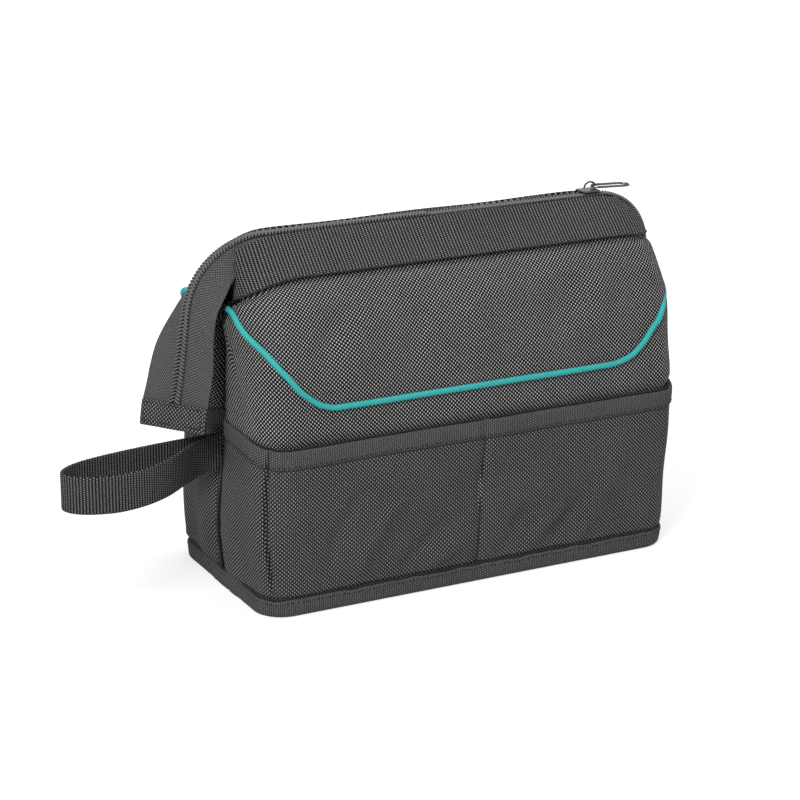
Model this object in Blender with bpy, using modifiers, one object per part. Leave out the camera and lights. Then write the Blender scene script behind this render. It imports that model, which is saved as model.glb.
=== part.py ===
# Utility pouch: a boxy zipped pouch of heavy woven cloth, with outer pockets and a hand loop.
# Metres, +X to the right, +Y to the back, +Z up. The origin is on the floor, under the middle
# of the body. "Front" is the side at -Y, "back" the side at +Y.

import math

import bpy
from mathutils import Matrix, Vector

# Body
BODY_HALF_LENGTH = 0.127
BODY_HALF_DEPTH = 0.059
MOUTH_HEIGHT = 0.1965
CORNER_RADIUS = 0.018
GUSSET_DEPTH = 0.044
FOLD_HALF_GAP = 0.007
FOLD_RADIUS = 0.005
END_DROP = 0.013
SEAM_HALF_GAP = 0.0002
SIDE_LEAST = 0.0006

# Cloth and trim thicknesses
WALL_CLOTH = 0.0016
POCKET_CLOTH = 0.0012
GUSSET_CLOTH = 0.0008
LINING_CLOTH = 0.0006
BAND_CLOTH = 0.0015
FACING_CLOTH = 0.0008
BINDING_CLOTH = 0.0012
TAPE_CLOTH = 0.0006
LAYER_GAP = 0.0004
TOUCH_GAP = 0.0003

# Base
BASE_CLOTH = 0.0016
BOARD_THICKNESS = 0.0020
BOARD_INSET = 0.0052
BASE_BINDING_HEIGHT = 0.0095

# Pockets
POCKET_SLACK = 0.0062
POCKET_BINDING_HEIGHT = 0.0100

# Mouth
CUT_INSET = 0.0340
FLAP_CUT_GAP = 0.0005
PIPING_RADIUS = 0.0016
PIPING_CREST = 0.0009
PIPING_GAP = 0.0010
LINING_EASE = 0.0028

# Zip
LEFT_RIDGE_INSET = 0.0270
RIGHT_RIDGE_INSET = 0.0190
TAPE_WAIST_HALF_WIDTH = 0.0040
TAPE_TAIL_HALF_WIDTH = 0.0190
TAPE_WIDEN_LENGTH = 0.0200
LEFT_TAIL_CLEARANCE = 0.01646
RIGHT_TAIL_CLEARANCE = 0.004045
LEFT_TAIL_LENGTH = 0.0480
RIGHT_TAIL_LENGTH = 0.0530
TAIL_DRIFT = 0.0070
LEFT_TAIL_LEAN_DEGREES = 12.0
RIGHT_TAIL_LEAN_DEGREES = 3.0
LEFT_TAIL_TWIST_DEGREES = 34.0
RIGHT_TAIL_TWIST_DEGREES = 12.0
TAIL_BREAK_DEGREES = 45.0
COIL_RADIUS = 0.0010
COIL_HALF_GAP = 0.0008
HINGE_GAP = 0.0005
COIL_HINGE_GAP = 0.0034
TAB_HALF_WIDTH = 0.0200
TAB_HEIGHT = 0.0140
TAB_THICKNESS = 0.0038
TAB_EDGE_RADIUS = 0.0012

# Slider and its pull
SLIDER_LENGTH = 0.0110
SLIDER_HALF_WIDTH = 0.0045
SLIDER_PLATE = 0.0009
SLIDER_POST_HALF_WIDTH = 0.00045
BRIDGE_WIRE_RADIUS = 0.0006
BRIDGE_LENGTH = 0.0075
BRIDGE_HEIGHT = 0.0040
BRIDGE_FORWARD = 0.0012
PULL_BAR_FORWARD = 0.0015
PULL_BAR_RISE = 0.0016
PULL_WIRE_RADIUS = 0.0007
PULL_LENGTH = 0.0240
PULL_HALF_WIDTH = 0.0036
PULL_TILT_DEGREES = 3.0

# Hand loop
LOOP_WEBBING_WIDTH = 0.0200
LOOP_WEBBING_THICKNESS = 0.0016
LOOP_REACH = 0.0970
LOOP_BELLY = 0.0370
LOOP_FOOT_HEIGHT = 0.0680
LOOP_SAG = 0.0010
LOOP_STRAND_HALF_GAP = 0.00015
LOOP_SEAM_CLEARANCE = 0.0042

# How the skin changes with height. Each row: height, depth, gusset depth and fold gap, as
# shares of the mouth height and of the sizes above.
SECTION_SHARES = (
    (0.00, 1.000, 0.00, 1.00),
    (0.06, 1.010, 0.00, 1.00),
    (0.25, 1.035, 0.03, 1.00),
    (0.48, 1.020, 0.22, 1.00),
    (0.57, 0.985, 0.42, 1.00),
    (0.72, 0.860, 0.75, 0.95),
    (0.83, 0.690, 0.92, 0.85),
    (0.90, 0.485, 1.00, 0.75),
    (0.95, 0.310, 1.00, 0.60),
    (1.00, 0.140, 0.95, 0.40),
)

# Height, half length, the corner's reach along X and along Y, and end drop, at the left end.
LEFT_END_SHARES = (
    (0.00, 1.000, 0.90, 0.90, 0.00),
    (0.06, 1.005, 0.90, 0.90, 0.00),
    (0.25, 1.020, 1.00, 1.00, 0.00),
    (0.48, 1.010, 1.10, 1.15, 0.00),
    (0.57, 1.000, 1.20, 1.40, 0.00),
    (0.72, 1.000, 1.30, 1.80, 0.18),
    (0.80, 1.010, 1.35, 1.80, 0.45),
    (0.86, 0.985, 1.35, 1.50, 0.85),
    (0.90, 0.960, 1.30, 1.20, 1.12),
    (0.95, 0.945, 1.20, 0.78, 0.95),
    (1.00, 0.930, 1.00, 0.30, 0.62),
)

# The same at the right end, which is fuller at the top and squarer at the corner.
RIGHT_END_SHARES = (
    (0.00, 0.985, 0.90, 0.90, 0.00),
    (0.06, 0.995, 0.90, 0.90, 0.00),
    (0.25, 1.010, 0.90, 0.90, 0.00),
    (0.48, 1.015, 0.75, 0.75, 0.00),
    (0.57, 1.020, 0.75, 0.80, 0.00),
    (0.72, 1.050, 0.90, 1.00, 0.25),
    (0.83, 1.065, 1.10, 1.30, 0.50),
    (0.90, 1.045, 1.00, 1.00, 0.25),
    (0.95, 1.015, 0.90, 0.68, 0.25),
    (1.00, 0.965, 0.80, 0.30, 0.55),
)

# The way round half of the body, from the middle of the face (0) to the end seam (1).
FACE_STOP_SHARE = 0.50
CORNER_STOP_SHARE = 0.74
SIDE_STOP_SHARE = 0.80
FOLD_STOP_SHARE = 0.90
LEFT_DROP_SHARES = (0.45, 0.82)
RIGHT_DROP_SHARES = (0.42, 0.80)
FOLD_LEG_SHARE = 0.80
FOLD_ROOM_SHARE = 0.35
ROUND_SHARE = 0.5523

# The piping's route: way round and height, at the left end and at the right end.
LEFT_PIPING_SHARES = (
    (0.000, 0.575),
    (0.410, 0.575),
    (0.450, 0.588),
    (0.490, 0.620),
    (0.535, 0.663),
    (0.590, 0.720),
    (0.645, 0.781),
    (0.680, 0.828),
    (0.710, 0.856),
    (0.750, 0.869),
    (0.780, 0.874),
)
RIGHT_PIPING_SHARES = (
    (0.000, 0.575),
    (0.370, 0.575),
    (0.410, 0.585),
    (0.435, 0.600),
    (0.460, 0.625),
    (0.495, 0.681),
    (0.545, 0.720),
    (0.600, 0.752),
    (0.645, 0.785),
    (0.680, 0.822),
    (0.710, 0.850),
    (0.750, 0.868),
    (0.780, 0.874),
)

# Heights of seams and edges, as shares of the mouth height.
POCKET_TOP_SHARE = 0.475
POCKET_TOP_END_SHARE = 0.515
WALL_SPLIT_SHARE = 0.440
WALL_SPLIT_RISE_SHARE = 0.040
GUSSET_FOOT_SHARE = 0.520
BAND_FOOT_SHARE = 0.905
STEP_FOOT_SHARE = 0.852
STEP_TOP_SHARE = 0.900
PANEL_TOP_SHARE = 0.985
LINING_TOP_SHARE = 0.530
POCKET_RAMP_FOOT_SHARE = 0.460
POCKET_RAMP_TOP_SHARE = 0.555
SLACK_RISE_SHARE = 0.090
BAND_END_SHARE = 0.955
GUSSET_EDGE_SHARE = 0.906
POCKET_EDGE_RISE_SHARE = 0.55

# The band leans in, so its inner rim is lower and nearer the middle by this share of its cloth.
RIM_SHARE = 0.75

BAND_HEIGHT_SHARES = (BAND_FOOT_SHARE, 0.925, 0.945, 0.965, PANEL_TOP_SHARE, 1.000)

# Places along the way round: where the pocket slack eases out, where the gusset's legs lie,
# and the columns of the sheets. The end columns run from the cut in the mouth to the band's end.
SLACK_EDGE_SHARE = 0.09
SLACK_SIDE_SHARE = 0.26
SEAM_STOP_SHARE = 0.93
STEP_SHARE = 0.004
CLIMB_STEP_SHARE = 0.03
WAIST_SHARE = 0.50
PANEL_END_SHARE = 0.48
WALL_COLUMN_SHARES = (
    0.00, 0.035, 0.09, 0.17, 0.30, 0.41, 0.46, 0.50, 0.545, 0.60,
    0.645, 0.68, 0.71, 0.75, 0.80, 0.85, 0.90, 0.95, 1.00,
)
BASE_COLUMN_SHARES = (0.00, 0.25, 0.50, 0.56, 0.62, 0.68, 0.74, 0.80, 0.90, 1.00)
LINING_COLUMN_SHARES = (0.00, 0.17, 0.35, 0.50, 0.56, 0.62, 0.68, 0.74, 0.81, 0.86)
END_COLUMN_SHARES = (
    0.00, 0.08, 0.16, 0.24, 0.32, 0.40, 0.48, 0.56, 0.64, 0.72, 0.79, 0.86, 0.93, 1.00,
)
GUSSET_LEG_SHARES = (0.00, 0.25, 0.50, 0.75, 0.94)
TAPE_COLUMN_SHARES = (0.00, 0.34, 0.67, 1.00)

# Rows, columns and steps of the meshes.
WALL_ROWS = 10
POCKET_ROWS = 7
BINDING_ROWS = 3
PANEL_ROWS = 5
MIDDLE_COLUMNS = 13
GUSSET_ROWS = 7
LINING_ROWS = 8
CORNER_STEPS = 7
TAIL_STEPS = 10
ARCH_STEPS = 9
PULL_STEPS = 7

# The hand loop's route: reach and belly, from the seam round the far bend and back.
LOOP_ROUTE_SHARES = (
    (0.00, 0.00),
    (0.12, 0.00),
    (0.30, 0.01),
    (0.50, 0.05),
    (0.70, 0.12),
    (0.86, 0.22),
    (0.96, 0.37),
    (1.00, 0.56),
    (0.97, 0.76),
    (0.88, 0.92),
    (0.74, 1.00),
    (0.58, 0.92),
    (0.43, 0.72),
    (0.29, 0.42),
    (0.17, 0.16),
    (0.08, 0.03),
    (0.00, 0.00),
)

HALVES = ("front", "back")
SIDES = {"left": -1.0, "right": 1.0}

# The stretch of the mouth that turns ends short of the body's ends, and the zip lies between
# the bands' inner rims.
MOUTH_HALF_LENGTH = BODY_HALF_LENGTH - CUT_INSET
RIM_DROP = RIM_SHARE * BAND_CLOTH + TOUCH_GAP
ZIP_LEVEL = MOUTH_HEIGHT - RIM_DROP - TAPE_CLOTH / 2
TAPE_RIDGE_HALF_WIDTH = SECTION_SHARES[-1][1] * BODY_HALF_DEPTH - RIM_DROP


def clear_scene():
    for item in list(bpy.data.objects):
        bpy.data.objects.remove(item, do_unlink=True)


def make_material(name, color, roughness, metallic=0.0):
    material = bpy.data.materials.new(name)
    material.use_nodes = True
    shader = material.node_tree.nodes["Principled BSDF"]
    shader.inputs["Base Color"].default_value = (*color, 1.0)
    shader.inputs["Roughness"].default_value = roughness
    shader.inputs["Metallic"].default_value = metallic
    return material


def smooth(value):
    value = min(max(value, 0.0), 1.0)
    return value * value * (3.0 - 2.0 * value)


def mix(low, high, share):
    return low + (high - low) * share


def along_table(table, place):
    """Read a table by a smooth curve through its rows; the first column is the place."""
    place = min(max(place, table[0][0]), table[-1][0])
    last = len(table) - 1
    row = max(index for index in range(last) if table[index][0] <= place)
    span = table[row + 1][0] - table[row][0]
    share = (place - table[row][0]) / span

    def slope(index, column):
        before = table[max(index - 1, 0)]
        after = table[min(index + 1, last)]
        return (after[column] - before[column]) / (after[0] - before[0])

    values = []
    for column in range(1, len(table[0])):
        start = table[row][column]
        stop = table[row + 1][column]
        leave = slope(row, column) * span
        arrive = slope(row + 1, column) * span
        values.append(
            (2 * share**3 - 3 * share**2 + 1) * start
            + (share**3 - 2 * share**2 + share) * leave
            + (3 * share**2 - 2 * share**3) * stop
            + (share**3 - share**2) * arrive
        )
    return values


def between_rows(table, place):
    """Read a two-column table by straight lines."""
    for (start, low), (stop, high) in zip(table, table[1:]):
        if place <= stop:
            return mix(low, high, (place - start) / (stop - start))
    return table[-1][1]


def rounded(start, corner, stop, share):
    """A point on a round between two straight runs that meet at the corner."""
    near = (mix(start[0], corner[0], ROUND_SHARE), mix(start[1], corner[1], ROUND_SHARE))
    far = (mix(stop[0], corner[0], ROUND_SHARE), mix(stop[1], corner[1], ROUND_SHARE))
    rest = 1.0 - share
    return tuple(
        rest**3 * a + 3 * rest**2 * share * b + 3 * rest * share**2 * c + share**3 * d
        for a, b, c, d in zip(start, near, far, stop)
    )


def section(side, height):
    """The sizes of one level of the skin."""
    depth, gusset, gap = along_table(SECTION_SHARES, height)
    table = LEFT_END_SHARES if side < 0 else RIGHT_END_SHARES
    length, reach_x, reach_y, drop = along_table(table, height)
    half_length = length * BODY_HALF_LENGTH
    half_depth = depth * BODY_HALF_DEPTH
    half_gap = gap * FOLD_HALF_GAP
    room = half_depth - half_gap
    reach_y = min(reach_y * CORNER_RADIUS, room - min(FOLD_RADIUS, room * FOLD_ROOM_SHARE) - SIDE_LEAST)
    tuck = max(gusset, 0.0) * GUSSET_DEPTH
    return half_length, half_depth, half_gap, reach_x * CORNER_RADIUS, reach_y, tuck, drop * END_DROP


def skin_point(way, height):
    """A point of the front half's outer skin. The way is below 0 on the left, above on the right."""
    side = -1.0 if way < 0 else 1.0
    half_length, half_depth, half_gap, reach_x, reach_y, tuck, drop = section(side, height)
    way = abs(way)
    side_start = (half_length, reach_y - half_depth)
    if way <= FACE_STOP_SHARE:
        x = way / FACE_STOP_SHARE * (half_length - reach_x)
        y = -half_depth
    elif way <= CORNER_STOP_SHARE:
        share = (way - FACE_STOP_SHARE) / (CORNER_STOP_SHARE - FACE_STOP_SHARE)
        start = (half_length - reach_x, -half_depth)
        x, y = rounded(start, (half_length, -half_depth), side_start, share)
    else:
        fold = (half_length, -half_gap)
        seam = (half_length - tuck, -SEAM_HALF_GAP)
        leg = math.hypot(seam[0] - fold[0], seam[1] - fold[1])
        fold_reach = min(FOLD_RADIUS, leg * FOLD_LEG_SHARE, (half_depth - half_gap) * FOLD_ROOM_SHARE)
        fold_start = (half_length, max(-half_gap - fold_reach, side_start[1]))
        fold_stop = (
            mix(fold[0], seam[0], fold_reach / leg),
            mix(fold[1], seam[1], fold_reach / leg),
        )
        if way <= SIDE_STOP_SHARE:
            share = (way - CORNER_STOP_SHARE) / (SIDE_STOP_SHARE - CORNER_STOP_SHARE)
            x = half_length
            y = mix(side_start[1], fold_start[1], share)
        elif way <= FOLD_STOP_SHARE:
            share = (way - SIDE_STOP_SHARE) / (FOLD_STOP_SHARE - SIDE_STOP_SHARE)
            x, y = rounded(fold_start, fold, fold_stop, share)
        else:
            share = (way - FOLD_STOP_SHARE) / (1.0 - FOLD_STOP_SHARE)
            x = mix(fold_stop[0], seam[0], share)
            y = mix(fold_stop[1], seam[1], share)
    drop_start, drop_stop = LEFT_DROP_SHARES if side < 0 else RIGHT_DROP_SHARES
    fall = smooth((way - drop_start) / (drop_stop - drop_start))
    return Vector((side * x, y, height * MOUTH_HEIGHT - drop * fall))


def skin_normal(way, height):
    """The outward direction of the front half's skin."""
    low = max(height - STEP_SHARE, 0.0)
    high = min(height + STEP_SHARE, 1.0)
    before = max(way - STEP_SHARE, -1.0)
    after = min(way + STEP_SHARE, 1.0)
    round_it = skin_point(after, height) - skin_point(before, height)
    up_it = skin_point(way, high) - skin_point(way, low)
    return round_it.cross(up_it).normalized()


def on_skin(half, way, height, offset=0.0):
    """A point at an offset outside the skin, on the front or the back half."""
    point = skin_point(way, height) + skin_normal(way, height) * offset
    if half == "back":
        point.y = -point.y
    return point


def pocket_slack(way, height):
    """How far the wall stands in behind its pocket, beyond the pocket's own cloth."""
    across = abs(way)
    rise = smooth(across / SLACK_EDGE_SHARE) * smooth((1.0 - across) / SLACK_SIDE_SHARE)
    return POCKET_SLACK * rise * smooth(height / SLACK_RISE_SHARE)


def wall_offset(way, height):
    """The wall's outer face: behind the pocket low down, at the skin above it."""
    ramp = (height - POCKET_RAMP_FOOT_SHARE) / (POCKET_RAMP_TOP_SHARE - POCKET_RAMP_FOOT_SHARE)
    behind = -(POCKET_CLOTH + LAYER_GAP) - pocket_slack(way, height)
    return mix(behind, -LAYER_GAP, smooth(ramp))


def piping_height(way):
    table = LEFT_PIPING_SHARES if way < 0 else RIGHT_PIPING_SHARES
    return between_rows(table, abs(way))


def pocket_top(way):
    """The pocket's top edge climbs towards the end seams."""
    climb = smooth((abs(way) - POCKET_EDGE_RISE_SHARE) / (1.0 - POCKET_EDGE_RISE_SHARE))
    return mix(POCKET_TOP_SHARE, POCKET_TOP_END_SHARE, climb)


def height_share(length):
    """A length up the skin as a share of the mouth height."""
    return length / MOUTH_HEIGHT


def add_object(name, mesh, material):
    item = bpy.data.objects.new(name, mesh)
    item.data.materials.append(material)
    parts.objects.link(item)
    return item


def add_sheet(name, rows, thickness, material, turned=False, ring=False, floor=False):
    """Cloth: rows of points on its outer face, thickened inwards."""
    columns = len(rows[0])
    points = [point for row in rows for point in row]
    faces = []
    steps = columns if ring else columns - 1
    for row in range(len(rows) - 1):
        for column in range(steps):
            after = (column + 1) % columns
            face = [
                row * columns + column,
                row * columns + after,
                (row + 1) * columns + after,
                (row + 1) * columns + column,
            ]
            faces.append(face[::-1] if turned else face)
    if floor:
        ground = list(range(columns))
        faces.append(ground if turned else ground[::-1])
    mesh = bpy.data.meshes.new(name)
    mesh.from_pydata(points, [], faces)
    mesh.update()
    mesh.shade_smooth()
    item = add_object(name, mesh, material)
    wall = item.modifiers.new("thickness", "SOLIDIFY")
    wall.thickness = thickness
    wall.offset = -1.0
    return item


def add_tube(name, route, radius, material, closed=False):
    """A cord, wire or coil row that follows a route."""
    curve = bpy.data.curves.new(name, "CURVE")
    curve.dimensions = "3D"
    curve.bevel_depth = radius
    curve.bevel_resolution = 2
    curve.use_fill_caps = not closed
    spline = curve.splines.new("POLY")
    spline.points.add(len(route) - 1)
    for point, place in zip(spline.points, route):
        point.co = (*place, 1.0)
    spline.use_cyclic_u = closed
    return add_object(name, curve, material)


def both_ways(columns):
    """Columns from the left end seam, past the middle, to the right one."""
    return [-share for share in reversed(columns) if share > 0] + list(columns)


def levels(low, high, count):
    return [mix(low, high, index / (count - 1)) for index in range(count)]


# Base
def base_ring(offset, height):
    """One turn round the body at a height above the floor."""
    share = height_share(height)
    ways = both_ways(BASE_COLUMN_SHARES)
    ring = [on_skin("front", way, share, offset) for way in ways]
    ring += [on_skin("back", way, share, offset) for way in reversed(ways)]
    for point in ring:
        point.z = height
    return ring


def make_base():
    """The bottom cloth, the board that keeps it flat, and the binding round its edge."""
    for name, offset, foot, thickness, material in (
        ("base_panel", 0.0, 0.0, BASE_CLOTH, ballistic),
        ("base_board", -BOARD_INSET, BASE_CLOTH + TOUCH_GAP, BOARD_THICKNESS, board),
    ):
        ring = base_ring(offset, foot)
        mesh = bpy.data.meshes.new(name)
        mesh.from_pydata(ring, [], [list(range(len(ring)))])
        mesh.update()
        item = add_object(name, mesh, material)
        plate = item.modifiers.new("thickness", "SOLIDIFY")
        plate.thickness = thickness
        plate.offset = 1.0
    rows = [
        base_ring(LAYER_GAP + BINDING_CLOTH, height)
        for height in levels(0.0, BASE_BINDING_HEIGHT, BINDING_ROWS)
    ]
    add_sheet("base_binding", rows, BINDING_CLOTH, binding, ring=True)


# Walls, pockets and the piping above them
def piping_edge(way):
    """How far up the skin a seam keeps from the piping's middle; more where the piping climbs."""
    climb = 1.0
    for step in (-CLIMB_STEP_SHARE, CLIMB_STEP_SHARE):
        beside = way + step
        run = skin_point(beside, piping_height(beside)) - skin_point(way, piping_height(way))
        climb = max(climb, run.length / math.hypot(run.x, run.y))
    height = piping_height(way)
    rise = skin_point(way, height + STEP_SHARE) - skin_point(way, height - STEP_SHARE)
    return (PIPING_RADIUS + PIPING_GAP) * climb * 2 * STEP_SHARE / rise.length


def make_walls():
    """The lower cloth of each side: it wraps both ends and rises beside the gussets."""
    foot = height_share(BASE_CLOTH + LAYER_GAP + TOUCH_GAP)
    for half in HALVES:
        rows = []
        for row in levels(0.0, 1.0, WALL_ROWS):
            points = []
            for way in both_ways(WALL_COLUMN_SHARES):
                height = mix(foot, piping_height(way) - piping_edge(way), row)
                place = wall_way(way, height)
                points.append(on_skin(half, place, height, wall_offset(place, height)))
            rows.append(points)
        add_sheet(f"{half}_wall", rows, WALL_CLOTH, ballistic, turned=half == "back")


def wall_way(way, height):
    """The wall reaches the end seam low down, and only the fold where the gusset opens."""
    beyond = (abs(way) - CORNER_STOP_SHARE) / (1.0 - CORNER_STOP_SHARE)
    if beyond <= 0.0:
        return way
    split = smooth((height - WALL_SPLIT_SHARE) / WALL_SPLIT_RISE_SHARE)
    limit = mix(SEAM_STOP_SHARE, FOLD_STOP_SHARE, split)
    return math.copysign(mix(CORNER_STOP_SHARE, limit, beyond), way)


def make_pockets():
    """The outer pocket of each side and the binding on its top edge."""
    foot = height_share(BASE_CLOTH + TOUCH_GAP)
    ways = both_ways(WALL_COLUMN_SHARES)
    for half in HALVES:
        rows = [
            [on_skin(half, way, mix(foot, pocket_top(way), row)) for way in ways]
            for row in levels(0.0, 1.0, POCKET_ROWS)
        ]
        add_sheet(f"{half}_pocket", rows, POCKET_CLOTH, ballistic, turned=half == "back")
        proud = LAYER_GAP + BINDING_CLOTH
        near = [math.copysign(min(abs(way), SEAM_STOP_SHARE), way) for way in ways]
        rows = []
        for row in levels(1.0, 0.0, BINDING_ROWS):
            drop = height_share(POCKET_BINDING_HEIGHT) * row
            rows.append([on_skin(half, way, pocket_top(way) - drop, proud) for way in near])
        add_sheet(f"{half}_pocket_binding", rows, BINDING_CLOTH, binding, turned=half == "back")


def make_piping():
    """The bright cord along the seam between wall and upper panel."""
    for half in HALVES:
        route = []
        for side in SIDES.values():
            table = LEFT_PIPING_SHARES if side < 0 else RIGHT_PIPING_SHARES
            last = table[-1][0]
            ways = sorted({way for way, _ in table} | {way for way in WALL_COLUMN_SHARES if way < last})
            run = [on_skin(half, side * way, piping_height(side * way), PIPING_CREST) for way in ways]
            route += run[::-1] if side < 0 else run[1:]
        add_tube(f"{half}_piping", route, PIPING_RADIUS, piping)


# Mouth: the upper panels, their webbing bands and inner facings
def face_way(side, x, height):
    """The way round at which the flat face reaches an X."""
    half_length, _, _, reach_x, _, _, _ = section(side, height)
    return side * FACE_STOP_SHARE * x / (half_length - reach_x)


def step_offset(height):
    """The upper panel and the gusset step in to lie under the band."""
    step = smooth((height - STEP_FOOT_SHARE) / (STEP_TOP_SHARE - STEP_FOOT_SHARE))
    return mix(-LAYER_GAP, -BAND_CLOTH - LAYER_GAP, step)


def mouth_row(half, columns, row_height, offset):
    """One row of points; each column's way depends on the height, so it is found in two steps."""
    points = []
    for column in columns:
        height = row_height(column(BAND_FOOT_SHARE))
        height = row_height(column(height))
        points.append(on_skin(half, column(height), height, offset(height)))
    return points


def middle_columns():
    """The stretch of the mouth that turns, from cut to cut."""
    def column_at(share):
        def column(height):
            near = face_way(-1.0, MOUTH_HALF_LENGTH, height)
            far = face_way(1.0, MOUTH_HALF_LENGTH, height)
            return mix(near, far, share)
        return column
    return [column_at(share) for share in levels(0.0, 1.0, MIDDLE_COLUMNS)]


def end_columns(side, last):
    """From the cut round one end of the mouth, as far as the last share."""
    def column_at(share):
        def column(height):
            near = face_way(side, MOUTH_HALF_LENGTH + FLAP_CUT_GAP, height)
            return mix(near, side * BAND_END_SHARE, share)
        return column
    shares = [share for share in END_COLUMN_SHARES if share <= last]
    return [column_at(share) for share in (shares if side > 0 else shares[::-1])]


def panel_rows(half, columns):
    """The upper panel: from the piping up to the band's foot, then on behind the band."""
    def low_row(share):
        return lambda way: mix(piping_height(way) + piping_edge(way), STEP_TOP_SHARE, share)

    rows = [low_row(share) for share in levels(0.0, 1.0, PANEL_ROWS)]
    rows += [lambda way, level=level: level for level in BAND_HEIGHT_SHARES[1:-1]]
    return [mouth_row(half, columns, row, step_offset) for row in rows]


def band_rows(half, columns):
    rows = [lambda way, level=level: level for level in BAND_HEIGHT_SHARES]
    return [mouth_row(half, columns, row, lambda height: 0.0) for row in rows]


def facing_rows(half, columns):
    """The inner facing lies behind the upper panel, under the band."""
    rows = [lambda way, level=level: level for level in BAND_HEIGHT_SHARES[:-2]]
    depth = -BAND_CLOTH - WALL_CLOTH - 2 * LAYER_GAP - TOUCH_GAP
    return [mouth_row(half, columns, row, lambda height: depth) for row in rows]


def make_mouth():
    """Above the piping: a middle stretch that turns with the mouth, and two still ends."""
    for half in HALVES:
        turned = half == "back"
        middle = middle_columns()
        add_sheet(f"{half}_panel", panel_rows(half, middle), WALL_CLOTH, ballistic, turned)
        add_sheet(f"{half}_band", band_rows(half, middle), BAND_CLOTH, webbing, turned)
        add_sheet(f"{half}_facing", facing_rows(half, middle), FACING_CLOTH, binding, turned)
        for word, side in SIDES.items():
            rows = panel_rows(half, end_columns(side, PANEL_END_SHARE))
            add_sheet(f"{half}_panel_{word}_end", rows, WALL_CLOTH, ballistic, turned)
            rows = band_rows(half, end_columns(side, 1.0))
            add_sheet(f"{half}_band_{word}_end", rows, BAND_CLOTH, webbing, turned)


# Gussets and lining
def seam_middle(side, height, depth):
    """The point between both halves at an end seam, a depth inside the skin."""
    point = skin_point(side, height)
    return Vector((point.x - side * depth, 0.0, point.z))


def make_gussets():
    """The thin cloth folded in between front and back at each end."""
    for word, side in SIDES.items():
        rows = []
        heights = levels(GUSSET_FOOT_SHARE, STEP_FOOT_SHARE, GUSSET_ROWS)
        for height in [*heights, STEP_TOP_SHARE, *BAND_HEIGHT_SHARES[1:-2]]:
            ways = [side * mix(GUSSET_EDGE_SHARE, 1.0, share) for share in GUSSET_LEG_SHARES]
            offset = step_offset(height) - TOUCH_GAP
            front = [on_skin("front", way, height, offset) for way in ways]
            back = [on_skin("back", way, height, offset) for way in ways]
            rows.append(front + [seam_middle(side, height, -offset)] + back[::-1])
        add_sheet(f"{word}_gusset", rows, GUSSET_CLOTH, lining, turned=side < 0)


def make_lining():
    """The thin inner sack: it lines the walls and the floor up to the piping."""
    foot = height_share(BASE_CLOTH + BOARD_THICKNESS + 2 * TOUCH_GAP)
    ways = both_ways(LINING_COLUMN_SHARES)
    rows = []
    for height in levels(foot, LINING_TOP_SHARE, LINING_ROWS):
        ring = []
        for half in HALVES:
            for way in ways if half == "front" else reversed(ways):
                clear = math.copysign(max(abs(way), SLACK_EDGE_SHARE), way)
                depth = wall_offset(clear, height) - WALL_CLOTH - LAYER_GAP - LINING_EASE
                ring.append(on_skin(half, way, height, depth))
            side = 1.0 if half == "front" else -1.0
            ring.append(seam_middle(side, height, -depth))
        rows.append(ring)
    add_sheet("lining", rows, LINING_CLOTH, lining, ring=True, floor=True)


# Zip: two tapes, each with its coil row, over the mouth and down to an end tab at each side
def ridge_end(side):
    """How far the zip's straight top reaches from the middle."""
    return BODY_HALF_LENGTH - (LEFT_RIDGE_INSET if side < 0 else RIGHT_RIDGE_INSET)


def zip_bend(side):
    """The bend's radius, its whole angle and the tail's twist. It clears the body's widest place."""
    if side < 0:
        lean, twist, clearance = LEFT_TAIL_LEAN_DEGREES, LEFT_TAIL_TWIST_DEGREES, LEFT_TAIL_CLEARANCE
        table = LEFT_END_SHARES
    else:
        lean, twist, clearance = RIGHT_TAIL_LEAN_DEGREES, RIGHT_TAIL_TWIST_DEGREES, RIGHT_TAIL_CLEARANCE
        table = RIGHT_END_SHARES
    widest = max(row[1] for row in table) * BODY_HALF_LENGTH
    return widest + clearance - ridge_end(side), math.radians(90.0 - lean), math.radians(twist)


def zip_break(side):
    """How far past the ridge's end the tail starts to swing."""
    return zip_bend(side)[0] * math.radians(TAIL_BREAK_DEGREES)


def zip_length(side):
    radius, angle, _ = zip_bend(side)
    return radius * angle + (LEFT_TAIL_LENGTH if side < 0 else RIGHT_TAIL_LENGTH)


def zip_place(side, way):
    """Centre, direction towards the front edge, and outward direction, past the ridge's end."""
    radius, bend, twist = zip_bend(side)
    angle = min(max(way / radius, 0.0), bend)
    beyond = max(way - radius * bend, 0.0)
    along = Vector((side * math.cos(angle), 0.0, -math.sin(angle)))
    out = Vector((side * math.sin(angle), 0.0, math.cos(angle)))
    x = side * (ridge_end(side) + radius * math.sin(angle))
    z = ZIP_LEVEL - radius * (1.0 - math.cos(angle))
    centre = Vector((x, 0.0, z)) + along * min(way, 0.0) + along * beyond
    turn = smooth((way - zip_break(side)) / (zip_length(side) - zip_break(side)))
    if side < 0:
        centre.y -= TAIL_DRIFT * turn
    across = Vector((0.0, -1.0, 0.0))
    tilt = twist * turn
    return (
        centre,
        across * math.cos(tilt) - out * math.sin(tilt),
        out * math.cos(tilt) + across * math.sin(tilt),
    )


def tape_half_width(side, way):
    """Narrow between the bands, narrowest where their folded ends meet, whole on the tails."""
    table = LEFT_END_SHARES if side < 0 else RIGHT_END_SHARES
    beyond = table[-1][1] * BODY_HALF_LENGTH - ridge_end(side)
    radius = zip_bend(side)[0]
    clear = radius * math.asin(min(beyond / radius, 1.0))
    if way <= clear:
        return mix(TAPE_RIDGE_HALF_WIDTH, TAPE_WAIST_HALF_WIDTH, smooth(way / (clear * WAIST_SHARE)))
    return mix(TAPE_WAIST_HALF_WIDTH, TAPE_TAIL_HALF_WIDTH, smooth((way - clear) / TAPE_WIDEN_LENGTH))


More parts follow.
